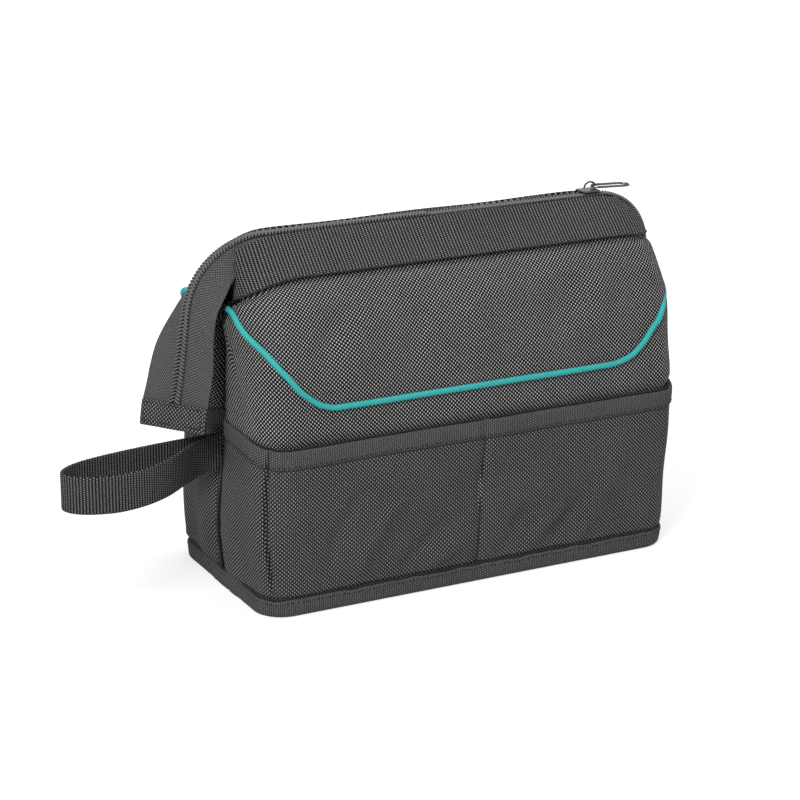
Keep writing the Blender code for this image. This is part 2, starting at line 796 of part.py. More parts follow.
def add_tape(name, half, side, ways):
    toward = 1.0 if half == "front" else -1.0
    rows = []
    for way in ways:
        centre, across, out = zip_place(side, way)
        centre = centre + out * TAPE_CLOTH / 2
        edge = tape_half_width(side, way)
        rows.append(
            [centre + across * toward * mix(COIL_HALF_GAP, edge, share) for share in TAPE_COLUMN_SHARES]
        )
    return add_sheet(name, rows, TAPE_CLOTH, tape, turned=(side < 0) != (half == "back"))


def add_coil(name, half, side, ways):
    toward = 1.0 if half == "front" else -1.0
    lift = TAPE_CLOTH / 2 + TOUCH_GAP + COIL_RADIUS
    route = []
    for way in ways:
        centre, across, out = zip_place(side, way)
        route.append(centre + across * toward * (COIL_HALF_GAP + COIL_RADIUS) + out * lift)
    return add_tube(name, route, COIL_RADIUS, coil)


def make_zip():
    for half in HALVES:
        middle = [MOUTH_HALF_LENGTH * share - ridge_end(1.0) for share in levels(-1.0, 1.0, 2)]
        add_tape(f"{half}_zip_tape", half, 1.0, middle)
        add_coil(f"{half}_zip_coil", half, 1.0, middle)
        for word, side in SIDES.items():
            cut = MOUTH_HALF_LENGTH - ridge_end(side)
            split = zip_break(side)
            corner = (cut + FLAP_CUT_GAP, split - HINGE_GAP / 2)
            tail = (split + HINGE_GAP / 2, zip_length(side))
            add_tape(f"{half}_zip_tape_{word}_corner", half, side, levels(*corner, CORNER_STEPS))
            add_tape(f"{half}_zip_tape_{word}_tail", half, side, levels(*tail, TAIL_STEPS))
            corner = (corner[0], split - COIL_HINGE_GAP / 2)
            tail = (split + COIL_HINGE_GAP / 2, zip_length(side))
            add_coil(f"{half}_zip_coil_{word}_corner", half, side, levels(*corner, CORNER_STEPS))
            add_coil(f"{half}_zip_coil_{word}_tail", half, side, levels(*tail, TAIL_STEPS))


def make_tabs():
    """The folded cloth sewn over each end of the zip."""
    for word, side in SIDES.items():
        centre, across, out = zip_place(side, zip_length(side))
        down = across.cross(out) * -side
        middle = centre + down * (TAB_HEIGHT / 2 + TOUCH_GAP) + out * COIL_RADIUS
        bpy.ops.mesh.primitive_cube_add(size=1.0)
        tab = bpy.context.active_object
        tab.name = f"{word}_end_tab"
        tab.data.name = tab.name
        shape = Matrix((across, down, out)).transposed()
        size = Matrix.Diagonal((2 * TAB_HALF_WIDTH, TAB_HEIGHT, TAB_THICKNESS))
        tab.data.transform((shape @ size).to_4x4())
        if (shape @ size).determinant() < 0:
            tab.data.flip_normals()
        tab.location = middle
        tab.data.materials.append(ballistic)
        edge = tab.modifiers.new("edge", "BEVEL")
        edge.width = TAB_EDGE_RADIUS
        edge.segments = 2
        for collection in list(tab.users_collection):
            collection.objects.unlink(tab)
        parts.objects.link(tab)


# Slider and pull
def slider_place():
    """The slider's middle, on the zip's centre line at the right end of the ridge."""
    return Vector((ridge_end(1.0) - SLIDER_LENGTH / 2, 0.0, ZIP_LEVEL))


def slider_top():
    """Height of the top plate's upper face over the zip's centre line."""
    return TAPE_CLOTH / 2 + 2 * TOUCH_GAP + 2 * COIL_RADIUS + SLIDER_PLATE


def make_slider():
    """The slider runs on both coils: two plates and the post that parts the rows."""
    low = -TAPE_CLOTH / 2 - TOUCH_GAP
    high = slider_top() - SLIDER_PLATE
    wide = SLIDER_HALF_WIDTH
    post = SLIDER_POST_HALF_WIDTH
    outline = [
        (-wide, low - SLIDER_PLATE), (wide, low - SLIDER_PLATE), (wide, low), (post, low),
        (post, high), (wide, high), (wide, high + SLIDER_PLATE), (-wide, high + SLIDER_PLATE),
        (-wide, high), (-post, high), (-post, low), (-wide, low),
    ]
    curve = bpy.data.curves.new("slider_body", "CURVE")
    curve.dimensions = "2D"
    curve.fill_mode = "BOTH"
    curve.extrude = SLIDER_LENGTH / 2
    spline = curve.splines.new("POLY")
    spline.points.add(len(outline) - 1)
    for point, (y, z) in zip(spline.points, outline):
        point.co = (y, z, 0.0, 1.0)
    spline.use_cyclic_u = True
    body = add_object("slider_body", curve, metal)
    turn = Matrix(((0.0, 0.0, 1.0), (1.0, 0.0, 0.0), (0.0, 1.0, 0.0)))
    body.matrix_world = Matrix.Translation(slider_place()) @ turn.to_4x4()

    foot = slider_place() + Vector((BRIDGE_FORWARD, 0.0, slider_top() + TOUCH_GAP + BRIDGE_WIRE_RADIUS))
    rise = BRIDGE_HEIGHT - BRIDGE_WIRE_RADIUS
    arch = []
    for index in range(ARCH_STEPS):
        angle = math.pi * index / (ARCH_STEPS - 1)
        reach = BRIDGE_LENGTH / 2 * math.cos(angle)
        arch.append(foot + Vector((reach, 0.0, rise * math.sin(angle))))
    add_tube("slider_bridge", arch, BRIDGE_WIRE_RADIUS, metal)


def pull_pivot():
    forward = BRIDGE_FORWARD + PULL_BAR_FORWARD
    return slider_place() + Vector((forward, 0.0, slider_top() + PULL_BAR_RISE))


def make_pull():
    """The wire pull: a long loop whose near end passes under the bridge."""
    tilt = math.radians(PULL_TILT_DEGREES)
    along = Vector((math.cos(tilt), 0.0, -math.sin(tilt)))
    across = Vector((0.0, 1.0, 0.0))
    straight = PULL_LENGTH - 2 * PULL_HALF_WIDTH
    route = []
    for end, quarter in ((straight, -0.5), (0.0, 0.5)):
        for index in range(PULL_STEPS):
            angle = math.pi * (quarter + index / (PULL_STEPS - 1))
            reach = PULL_HALF_WIDTH * (1.0 + math.cos(angle)) + end
            side = PULL_HALF_WIDTH * math.sin(angle)
            route.append(pull_pivot() + along * reach + across * side)
    add_tube("pull", route, PULL_WIRE_RADIUS, metal, closed=True)


# Hand loop
def loop_root():
    """Where the loop's two ends leave the left end seam."""
    middle = height_share(LOOP_FOOT_HEIGHT + LOOP_WEBBING_WIDTH / 2)
    seam = seam_middle(-1.0, middle, -LOOP_SEAM_CLEARANCE)
    return Vector((seam.x, 0.0, LOOP_FOOT_HEIGHT))


def make_hand_loop():
    """A band of webbing, doubled back on itself, with both ends in the left end seam."""
    root = loop_root()
    apart = LOOP_STRAND_HALF_GAP + LOOP_WEBBING_THICKNESS / 2
    last = len(LOOP_ROUTE_SHARES) - 1
    rows = [[], []]
    for index, (reach, belly) in enumerate(LOOP_ROUTE_SHARES):
        side = apart * math.cos(math.pi * index / last)
        place = root + Vector((-LOOP_REACH * reach, side - LOOP_BELLY * belly, -LOOP_SAG * reach))
        rows[0].append(place)
        rows[1].append(place + Vector((0.0, 0.0, LOOP_WEBBING_WIDTH)))
    item = add_sheet("hand_loop", rows, LOOP_WEBBING_THICKNESS, webbing)
    item.modifiers["thickness"].offset = 0.0


# Joints: an empty on each axis carries the pieces that turn or slide with it
def mouth_axis(half):
    return on_skin(half, 0.0, piping_height(0.0), PIPING_CREST)


def tail_axis(side):
    return zip_place(side, zip_break(side))[0]


def carry(name, place, nodes, parent=None):
    joint = bpy.data.objects.new(name, None)
    joint.location = place
    parts.objects.link(joint)
    for node in nodes:
        item = bpy.data.objects[node]
        item.parent = joint
        item.matrix_parent_inverse = Matrix.Translation(-place)
    if parent:
        carrier = bpy.data.objects[parent]
        joint.parent = carrier
        joint.matrix_parent_inverse = Matrix.Translation(-carrier.location)
    return joint


def make_joints():
    for half in HALVES:
        nodes = [f"{half}_{word}" for word in ("panel", "band", "facing", "zip_tape", "zip_coil")]
        carry(f"{half}_mouth_axis", mouth_axis(half), nodes)
    for word, side in SIDES.items():
        nodes = [f"{half}_zip_{row}_{word}_tail" for half in HALVES for row in ("tape", "coil")]
        carry(f"{word}_tail_axis", tail_axis(side), nodes + [f"{word}_end_tab"])
    carry("zip_run", slider_place(), ["slider_body", "slider_bridge"])
    carry("pull_axis", pull_pivot(), ["pull"], "zip_run")
    carry("loop_axis", loop_root(), ["hand_loop"])
    for name, place in sorted((item.name, item.location) for item in parts.objects if item.type == "EMPTY"):
        print(name, [round(value, 5) for value in place])


clear_scene()
parts = bpy.data.collections.new("utility_pouch")
bpy.context.scene.collection.children.link(parts)
ballistic = make_material("ballistic cloth", (0.060, 0.062, 0.064), 0.78)
webbing = make_material("webbing", (0.030, 0.031, 0.032), 0.80)
binding = make_material("binding tape", (0.040, 0.041, 0.043), 0.82)
tape = make_material("zip tape", (0.055, 0.056, 0.058), 0.85)
coil = make_material("zip coil", (0.020, 0.020, 0.021), 0.45)
piping = make_material("piping", (0.015, 0.420, 0.400), 0.60)
lining = make_material("lining", (0.090, 0.092, 0.095), 0.70)
board = make_material("board", (0.100, 0.100, 0.100), 0.60)
metal = make_material("gunmetal", (0.180, 0.180, 0.190), 0.35, 1.0)

make_base()
make_walls()
make_pockets()
make_piping()
make_mouth()
make_gussets()
make_lining()
make_zip()
make_tabs()
make_slider()
make_pull()
make_hand_loop()
make_joints()
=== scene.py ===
# %% [markdown]
# A utility pouch of heavy woven cloth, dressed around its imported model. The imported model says
# where everything is and what moves; this file gives each piece its finer shape and its cloth.
# All lengths are in metres, +X to the right, +Y to the back, +Z up.

# %% Load the frame
import math

import bmesh
import bpy
import numpy as np
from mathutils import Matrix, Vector


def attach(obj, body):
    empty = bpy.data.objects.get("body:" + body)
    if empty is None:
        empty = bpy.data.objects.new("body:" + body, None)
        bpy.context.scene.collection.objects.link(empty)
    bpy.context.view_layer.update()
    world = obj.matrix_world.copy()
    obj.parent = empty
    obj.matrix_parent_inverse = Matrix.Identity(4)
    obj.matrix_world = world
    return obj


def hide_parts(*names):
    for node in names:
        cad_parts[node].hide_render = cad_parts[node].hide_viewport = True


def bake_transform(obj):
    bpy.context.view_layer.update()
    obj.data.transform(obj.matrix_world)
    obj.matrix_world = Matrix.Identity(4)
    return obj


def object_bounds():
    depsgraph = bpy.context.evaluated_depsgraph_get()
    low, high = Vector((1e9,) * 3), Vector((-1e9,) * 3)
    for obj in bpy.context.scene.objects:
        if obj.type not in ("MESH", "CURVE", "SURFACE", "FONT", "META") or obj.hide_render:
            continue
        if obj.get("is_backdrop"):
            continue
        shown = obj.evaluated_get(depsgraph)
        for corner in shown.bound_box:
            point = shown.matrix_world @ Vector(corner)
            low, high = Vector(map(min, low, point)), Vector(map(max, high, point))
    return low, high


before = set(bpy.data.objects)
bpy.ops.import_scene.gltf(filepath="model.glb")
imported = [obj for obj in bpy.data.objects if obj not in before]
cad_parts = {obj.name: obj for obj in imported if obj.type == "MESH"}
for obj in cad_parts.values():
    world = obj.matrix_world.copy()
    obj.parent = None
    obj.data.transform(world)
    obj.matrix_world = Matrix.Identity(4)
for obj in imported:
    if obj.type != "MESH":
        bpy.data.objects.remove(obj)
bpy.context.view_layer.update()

# %% [markdown]
# The camera comes first, so that every later step can be judged against the same picture. The
# pouch is seen from the front left and a little from above, with a long lens, which keeps the
# edges nearly parallel.

# %% Camera
camera = bpy.data.objects.new("camera", bpy.data.cameras.new("camera"))
bpy.context.scene.collection.objects.link(camera)
camera.data.lens = 111.9
camera.location = (-0.6230, -1.1779, 0.5181)
# It looks 27.2 degrees round from the front and 17.9 degrees down.
look = Vector((0.435, 0.846, -0.307))
camera.rotation_euler = look.to_track_quat("-Z", "Y").to_euler()
bpy.context.scene.camera = camera
print("camera looks along", [round(v, 3) for v in look.normalized()])

# %% [markdown]
# The pouch is one skin: a box that narrows into a ridge, with folded ends. Its shape is written
# as a few rows of sizes, one row per height, read by a smooth curve. Every sewn piece then lies
# at its own small distance from this skin, as cloth layers do.

# %% Sizes of the body
BODY_HALF_LENGTH = 0.127
BODY_HALF_DEPTH = 0.059
MOUTH_HEIGHT = 0.1965
CORNER_RADIUS = 0.018
GUSSET_DEPTH = 0.044
FOLD_HALF_GAP = 0.007
FOLD_RADIUS = 0.005
END_DROP = 0.013

# Height, half depth, gusset depth and fold gap, as shares of the sizes above.
SECTION = (
    (0.00, 1.000, 0.00, 1.00),
    (0.06, 1.010, 0.00, 1.00),
    (0.25, 1.035, 0.03, 1.00),
    (0.48, 1.020, 0.22, 1.00),
    (0.57, 0.985, 0.42, 1.00),
    (0.72, 0.860, 0.75, 0.95),
    (0.83, 0.690, 0.92, 0.85),
    (0.90, 0.485, 1.00, 0.75),
    (0.95, 0.310, 1.00, 0.60),
    (1.00, 0.140, 0.95, 0.40),
)

# Height, half length, the corner's reach along X and along Y, and end drop, at each end.
ENDS = {
    -1: (
        (0.00, 1.000, 0.90, 0.90, 0.00),
        (0.06, 1.005, 0.90, 0.90, 0.00),
        (0.25, 1.020, 1.00, 1.00, 0.00),
        (0.48, 1.010, 1.10, 1.15, 0.00),
        (0.57, 1.000, 1.20, 1.40, 0.00),
        (0.72, 1.000, 1.30, 1.80, 0.18),
        (0.80, 1.010, 1.35, 1.80, 0.45),
        (0.86, 0.985, 1.35, 1.50, 0.85),
        (0.90, 0.960, 1.30, 1.20, 1.12),
        (0.95, 0.945, 1.20, 0.78, 0.95),
        (1.00, 0.930, 1.00, 0.30, 0.62),
    ),
    1: (
        (0.00, 0.985, 0.90, 0.90, 0.00),
        (0.06, 0.995, 0.90, 0.90, 0.00),
        (0.25, 1.010, 0.90, 0.90, 0.00),
        (0.48, 1.015, 0.75, 0.75, 0.00),
        (0.57, 1.020, 0.75, 0.80, 0.00),
        (0.72, 1.050, 0.90, 1.00, 0.25),
        (0.83, 1.065, 1.10, 1.30, 0.50),
        (0.90, 1.045, 1.00, 1.00, 0.25),
        (0.95, 1.015, 0.90, 0.68, 0.25),
        (1.00, 0.965, 0.80, 0.30, 0.55),
    ),
}

# Where the way round half of the body changes: face, corner, side, fold, then the leg to the
# seam. The drop at each end sets in between its two ways.
FACE_STOP, CORNER_STOP, SIDE_STOP, FOLD_STOP = 0.50, 0.74, 0.80, 0.90
DROP_WAYS = {-1: (0.45, 0.82), 1: (0.42, 0.80)}

# A fold's round takes at most these shares of the room beside it and of the leg behind it.
ROUND_OF_ROOM, ROUND_OF_LEG = 0.35, 0.80
LEAST_SIDE = 0.0006
SEAM_HALF_GAP = 0.0002
print("the body is", 2000 * BODY_HALF_LENGTH, "x", 2000 * BODY_HALF_DEPTH, "x", 1000 * MOUTH_HEIGHT, "mm")


# %% Read a table of sizes
def along(table, place):
    """Values of a table at a place, by a smooth curve through its rows."""
    place = min(max(place, table[0][0]), table[-1][0])
    last = len(table) - 1
    row = max(index for index in range(last) if table[index][0] <= place)
    span = table[row + 1][0] - table[row][0]
    t = (place - table[row][0]) / span

    def slope(index, column):
        before, after = table[max(index - 1, 0)], table[min(index + 1, last)]
        return (after[column] - before[column]) / (after[0] - before[0])

    return [
        (2 * t**3 - 3 * t**2 + 1) * table[row][c]
        + (t**3 - 2 * t**2 + t) * slope(row, c) * span
        + (3 * t**2 - 2 * t**3) * table[row + 1][c]
        + (t**3 - t**2) * slope(row + 1, c) * span
        for c in range(1, len(table[0]))
    ]


def smooth(value):
    """0 up to 0 and 1 from 1 on, with a smooth run between."""
    value = np.clip(value, 0.0, 1.0)
    return value * value * (3.0 - 2.0 * value)


def mix(low, high, share):
    """Low at share 0 and high at share 1."""
    return low + (high - low) * share


# %% One level of the skin
def rounded(start, corner, stop, share):
    """A point on a round between two straight runs that meet at the corner."""
    # With this share a cubic curve comes close to a quarter of a circle.
    pull = 0.5523
    near = (mix(start[0], corner[0], pull), mix(start[1], corner[1], pull))
    far = (mix(stop[0], corner[0], pull), mix(stop[1], corner[1], pull))
    rest = 1.0 - share
    return [
        rest**3 * a + 3 * rest**2 * share * b + 3 * rest * share**2 * c + share**3 * d
        for a, b, c, d in zip(start, near, far, stop)
    ]


def skin_level(side, height, ways):
    """Points of the front half's skin at one height, for ways from 0 to 1."""
    depth, gusset, gap = along(SECTION, height)
    length, reach_x, reach_y, drop = along(ENDS[side], height)
    drop_start, drop_stop = DROP_WAYS[side]
    half_length, half_depth = length * BODY_HALF_LENGTH, depth * BODY_HALF_DEPTH
    half_gap, tuck = gap * FOLD_HALF_GAP, max(gusset, 0.0) * GUSSET_DEPTH
    room = half_depth - half_gap
    reach_x *= CORNER_RADIUS
    reach_y = min(reach_y * CORNER_RADIUS, room - min(FOLD_RADIUS, room * ROUND_OF_ROOM) - LEAST_SIDE)
    side_start = (half_length, reach_y - half_depth)
    fold, seam = (half_length, -half_gap), (half_length - tuck, -SEAM_HALF_GAP)
    leg = math.hypot(seam[0] - fold[0], seam[1] - fold[1])
    fold_reach = min(FOLD_RADIUS, leg * ROUND_OF_LEG, room * ROUND_OF_ROOM)
    fold_start = (half_length, max(-half_gap - fold_reach, side_start[1]))
    fold_stop = (mix(fold[0], seam[0], fold_reach / leg), mix(fold[1], seam[1], fold_reach / leg))
    points = []
    for way in ways:
        if way <= FACE_STOP:
            x, y = way / FACE_STOP * (half_length - reach_x), -half_depth
        elif way <= CORNER_STOP:
            share = (way - FACE_STOP) / (CORNER_STOP - FACE_STOP)
            face_end, corner = (half_length - reach_x, -half_depth), (half_length, -half_depth)
            x, y = rounded(face_end, corner, side_start, share)
        elif way <= SIDE_STOP:
            share = (way - CORNER_STOP) / (SIDE_STOP - CORNER_STOP)
            x, y = half_length, mix(side_start[1], fold_start[1], share)
        elif way <= FOLD_STOP:
            x, y = rounded(fold_start, fold, fold_stop, (way - SIDE_STOP) / (FOLD_STOP - SIDE_STOP))
        else:
            share = (way - FOLD_STOP) / (1.0 - FOLD_STOP)
            x, y = mix(fold_stop[0], seam[0], share), mix(fold_stop[1], seam[1], share)
        fall = float(smooth((way - drop_start) / (drop_stop - drop_start)))
        points.append((side * x, y, height * MOUTH_HEIGHT - drop * END_DROP * fall))
    return points


# %% [markdown]
# Reading the skin point by point would be slow for fine meshes, so it is measured once on a
# dense lattice. Directions and distances along the cloth come from the same lattice: they are
# what a weave needs to follow the surface without stretching.

# %% The skin as a lattice
WAY_STEPS, HEIGHT_STEPS = 200, 160
half_ways = [step / WAY_STEPS for step in range(WAY_STEPS + 1)]
levels = [step / HEIGHT_STEPS for step in range(HEIGHT_STEPS + 1)]
lattice = np.array([skin_level(-1, level, half_ways)[::-1] + skin_level(1, level, half_ways)[1:] for level in levels])
round_it = np.gradient(lattice, axis=1)
up_it = np.gradient(lattice, axis=0)
outward = np.cross(round_it, up_it)
outward /= np.linalg.norm(outward, axis=2, keepdims=True)
steps_round = np.linalg.norm(np.diff(lattice, axis=1), axis=2)
distance_round = np.pad(np.cumsum(steps_round, axis=1), ((0, 0), (1, 0)))
distance_round -= distance_round[:, WAY_STEPS : WAY_STEPS + 1]
steps_up = np.linalg.norm(np.diff(lattice, axis=0), axis=2)
distance_up = np.pad(np.cumsum(steps_up, axis=0), ((1, 0), (0, 0)))
distances = np.stack([distance_round, distance_up], axis=2)
print("skin lattice", lattice.shape, "half way round at the foot:", round(distance_round[0, -1], 4))


# %% Read the skin anywhere
HALVES = ("front", "back")


def sample(grid, way, height):
    """Values between the points of a lattice."""
    way, height = np.broadcast_arrays(np.asarray(way, float), np.asarray(height, float))
    # Just short of the last line, so that there is always a next one to mix with.
    short = 1e-6
    column = np.clip((way + 1.0) * WAY_STEPS, 0, 2 * WAY_STEPS - short)
    row = np.clip(height * HEIGHT_STEPS, 0, HEIGHT_STEPS - short)
    c, r = column.astype(int), row.astype(int)
    fc, fr = (column - c)[..., None], (row - r)[..., None]
    low = grid[r, c] * (1 - fc) + grid[r, c + 1] * fc
    high = grid[r + 1, c] * (1 - fc) + grid[r + 1, c + 1] * fc
    return low * (1 - fr) + high * fr


def on_skin(half, way, height, offset=0.0):
    """Points at an offset outside the skin, on the front or the back half."""
    normal = sample(outward, way, height)
    normal /= np.linalg.norm(normal, axis=-1, keepdims=True)
    points = sample(lattice, way, height) + normal * np.asarray(offset)[..., None]
    if half == "back":
        points[..., 1] *= -1.0
    return points


def cloth_map(way, height):
    """Distances round and up the skin, the weave's own coordinates."""
    return sample(distances, way, height)


# %% [markdown]
# A sheet of cloth is a grid of points with a thickness. Solidify gives the thickness and closes
# the rim, and the result is turned into a plain mesh so that later steps find a finished shape.
# Each corner of each face carries its place on the flat cloth, in a map named "cloth".

# %% Thicknesses
THICK = {"base": 0.0010, "wall": 0.0016, "pocket": 0.0011, "panel": 0.0014, "webbing": 0.0014, "binding": 0.0005,
         "facing": 0.0008, "gusset": 0.0007, "lining": 0.0006, "tape": 0.0006}
print("thicknesses in mm:", {name: round(1000 * size, 2) for name, size in THICK.items()})


# %% Sheets of cloth
# An edge sharper than this is a crisp rim: two pieces that meet edge to edge then shade as one.
CRISP_EDGE = math.radians(50)


def plain_mesh(piece):
    """The piece as it looks with its modifiers, as a mesh of its own."""
    graph = bpy.context.evaluated_depsgraph_get()
    made = bpy.data.meshes.new_from_object(piece.evaluated_get(graph))
    piece.modifiers.clear()
    piece.data = made
    made.name = piece.name
    return piece


def grid_piece(name, points, cloth, material, turned=False, ring=False):
    """A grid of points as an open mesh. A ring closes on its first column, and its map has one more."""
    rows, columns = points.shape[:2]
    r, c = np.indices((rows - 1, columns if ring else columns - 1)).reshape(2, -1)
    corners = [(r, c), (r, c + 1), (r + 1, c + 1), (r + 1, c)]
    if turned:
        corners = corners[::-1]
    faces = np.stack([row * columns + column % columns for row, column in corners], axis=1)
    mesh = bpy.data.meshes.new(name)
    mesh.from_pydata(points.reshape(-1, 3).tolist(), [], faces.tolist())
    spots = np.stack([cloth[row, column] for row, column in corners], axis=1)
    mesh.uv_layers.new(name="cloth").data.foreach_set("uv", spots.reshape(-1).astype(np.float32))
    mesh.materials.append(material)
    mesh.shade_smooth()
    piece = bpy.data.objects.new(name, mesh)
    bpy.context.scene.collection.objects.link(piece)
    return piece


def sheet(name, points, cloth, thickness, material, turned=False, ring=False):
    """A grid of points with a thickness towards the inside. Its flat size is printed."""
    # That is the longest run across the sheet and the longest run up it.
    across, up = (np.linalg.norm(np.diff(points, axis=axis), axis=2).sum(axis=axis).max() for axis in (1, 0))
    print(f"{name}: flat {1000 * across:.0f} x {1000 * up:.0f} mm")
    piece = grid_piece(name, points, cloth, material, turned, ring)
    wall = piece.modifiers.new("thickness", "SOLIDIFY")
    wall.thickness = thickness
    wall.offset = -1.0
    plain_mesh(piece)
    piece.data.set_sharp_from_angle(angle=CRISP_EDGE)
    return piece


def path_map(points):
    """A map for a sheet that isn't on the skin: distances along its columns and up its rows."""
    up = np.linalg.norm(np.diff(points, axis=0), axis=2)
    across = np.linalg.norm(np.diff(points, axis=1), axis=2)
    u = np.concatenate([np.zeros((len(points), 1)), np.cumsum(across, axis=1)], axis=1)
    v = np.concatenate([np.zeros((1, points.shape[1])), np.cumsum(up, axis=0)])
    return np.stack([u - u[:, u.shape[1] // 2][:, None], v], axis=2)


# %% [markdown]
# Cloth is a shader job: threads of a millimetre are too many to model. The weave is worked out
# with plain arithmetic on the cloth's own map, so it keeps its scale and direction on every
# piece, and the same height drives the colour and the bump. The colour carries painted light:
# painted shade where the threads lie low and a painted highlight on their backs.

# %% Small helpers for shader nodes
def add_node(tree, kind, inputs=None, **settings):
    """A node with its settings, and with a value or a link on each named input."""
    node = tree.nodes.new(kind)
    for name, value in settings.items():
        setattr(node, name, value)
    for socket, value in (inputs or {}).items():
        if isinstance(value, bpy.types.NodeSocket):
            tree.links.new(value, node.inputs[socket])
        else:
            node.inputs[socket].default_value = value
    return node


def calc(tree, operation, *values):
    """One step of arithmetic."""
    return add_node(tree, "ShaderNodeMath", dict(enumerate(values)), operation=operation).outputs[0]


def blend_values(tree, share, low, high):
    """A number between low and high."""
    node = add_node(tree, "ShaderNodeMix", {0: share, 2: low, 3: high}, data_type="FLOAT")
    return node.outputs[0]


def blend_colors(tree, share, low, high):
    """A colour between low and high."""
    node = add_node(tree, "ShaderNodeMix", {0: share}, data_type="RGBA")
    for index, value in ((6, low), (7, high)):
        if isinstance(value, bpy.types.NodeSocket):
            tree.links.new(value, node.inputs[index])
        else:
            node.inputs[index].default_value = (*value, 1.0)
    return node.outputs[2]


def cloth_axes(tree, u_size, v_size):
    """The cloth map counted in threads: whole threads and the place across each."""
    place = add_node(tree, "ShaderNodeUVMap", uv_map="cloth").outputs[0]
    split = add_node(tree, "ShaderNodeSeparateXYZ", {0: place})
    axes = []
    for socket, size in ((0, u_size), (1, v_size)):
        count = calc(tree, "DIVIDE", split.outputs[socket], size)
        axes.append((calc(tree, "FLOOR", count), calc(tree, "FRACT", count)))
    return axes


def hump(tree, place):
    """0 at a thread's edges and 1 on its back."""
    return calc(tree, "SINE", calc(tree, "MULTIPLY", place, math.pi))


# %% Woven patterns
def basket_weave(tree, u_size, v_size):
    """Over and under, like a chessboard of short thread backs. Gives height and which thread is up."""
    (u_count, u_place), (v_count, v_place) = cloth_axes(tree, u_size, v_size)
    over = calc(tree, "FLOORED_MODULO", calc(tree, "ADD", u_count, v_count), 2.0)
    u_hump, v_hump = hump(tree, u_place), hump(tree, v_place)
    # A thread is lower where it dives under, and the crossing threads lie a little deeper.
    dive, warp_top, weft_top = 0.45, 1.0, 0.85
    warp = calc(tree, "MULTIPLY", u_hump, blend_values(tree, v_hump, dive, warp_top))
    weft = calc(tree, "MULTIPLY", v_hump, blend_values(tree, u_hump, dive, weft_top))
    return blend_values(tree, over, weft, warp), over


def rib_weave(tree, rib, dash):
    """Ribs across a strap, each made of short dashes that step from rib to rib."""
    (u_count, u_place), _ = cloth_axes(tree, rib, dash)
    place = add_node(tree, "ShaderNodeUVMap", uv_map="cloth").outputs[0]
    v = add_node(tree, "ShaderNodeSeparateXYZ", {0: place}).outputs[1]
    half_dash = 0.5
    shift = calc(tree, "MULTIPLY", calc(tree, "FLOORED_MODULO", u_count, 2.0), half_dash)
    dash_place = calc(tree, "FRACT", calc(tree, "ADD", calc(tree, "DIVIDE", v, dash), shift))
    ribs, dashes = hump(tree, u_place), hump(tree, dash_place)
    between_dashes = 0.35
    return calc(tree, "MULTIPLY", ribs, blend_values(tree, dashes, between_dashes, 1.0)), dashes


# %% Cloth finishes
CLOUD_SCALE, CLOUD_SPREAD = 38.0, 0.18
FUZZ_SCALE, FUZZ_LEAST, FUZZ_SPREAD = 1400.0, 0.4, 1.2
THREAD_SHINE = 0.22


def cloth_finish(name, pattern, sizes, light, dark, depth, rough, under, power=1.3, sheen=0.0):
    """A woven finish: painted shade between the threads, a painted highlight on their backs, and slightly uneven."""
    material = bpy.data.materials.new(name)
    material.use_nodes = True
    tree = material.node_tree
    shader = tree.nodes["Principled BSDF"]
    height, over = pattern(tree, *sizes)
    spot = add_node(tree, "ShaderNodeTexCoord").outputs["Object"]
    cloud = add_node(tree, "ShaderNodeTexNoise", {"Vector": spot, "Scale": CLOUD_SCALE, "Detail": 3.0}).outputs[0]
    fuzz = add_node(tree, "ShaderNodeTexNoise", {"Vector": spot, "Scale": FUZZ_SCALE, "Detail": 2.0}).outputs[0]
    # Painted light: the colour runs from painted shade in the gaps to a painted highlight on the thread backs, and
    # threads that dive under get more painted shade.
    tone = calc(tree, "POWER", height, power)
    tone = calc(tree, "MULTIPLY", tone, blend_values(tree, over, under, 1.0))
    for noise, spread, least in ((cloud, 2 * CLOUD_SPREAD, 1.0 - CLOUD_SPREAD), (fuzz, FUZZ_SPREAD, FUZZ_LEAST)):
        tone = calc(tree, "MULTIPLY", tone, calc(tree, "MULTIPLY_ADD", noise, spread, least))
    color = blend_colors(tree, tone, dark, light)
    tree.links.new(color, shader.inputs["Base Color"])
    bump = add_node(tree, "ShaderNodeBump", {"Height": height, "Distance": depth, "Strength": 0.85})
    tree.links.new(bump.outputs[0], shader.inputs["Normal"])
    # Only the backs of the threads shine; the gaps between them stay dark.
    tree.links.new(calc(tree, "MULTIPLY", tone, THREAD_SHINE), shader.inputs["Specular IOR Level"])
    shader.inputs["Roughness"].default_value = rough
    shader.inputs["Sheen Weight"].default_value = sheen
    return material


# %% The pouch's cloths
WEAVE = 0.00113
BAND_RIB, LOOP_RIB = 0.00193, 0.00168
# Each cloth's light colour is its thread backs with a painted highlight, and its dark colour is the painted shade
# between the threads.
upper_cloth = cloth_finish("heavy woven cloth, upper", basket_weave, (WEAVE, WEAVE), (0.600, 0.600, 0.595),
                           (0.002, 0.002, 0.002), depth=0.0004, rough=0.66, under=0.03, power=1.7)
ballistic = cloth_finish("heavy woven cloth", basket_weave, (WEAVE, WEAVE), (0.310, 0.310, 0.307),
                         (0.006, 0.006, 0.006), depth=0.0003, rough=0.68, under=0.15, power=1.5)
band_webbing = cloth_finish("mouth webbing", rib_weave, (BAND_RIB, 0.0011), (0.255, 0.255, 0.253),
                            (0.002, 0.002, 0.002), depth=0.0004, rough=0.72, under=0.16, power=2.0)
loop_webbing = cloth_finish("loop webbing", rib_weave, (LOOP_RIB, 0.0010), (0.210, 0.210, 0.207),
                            (0.003, 0.003, 0.003), depth=0.0003, rough=0.76, under=0.20, power=1.9)
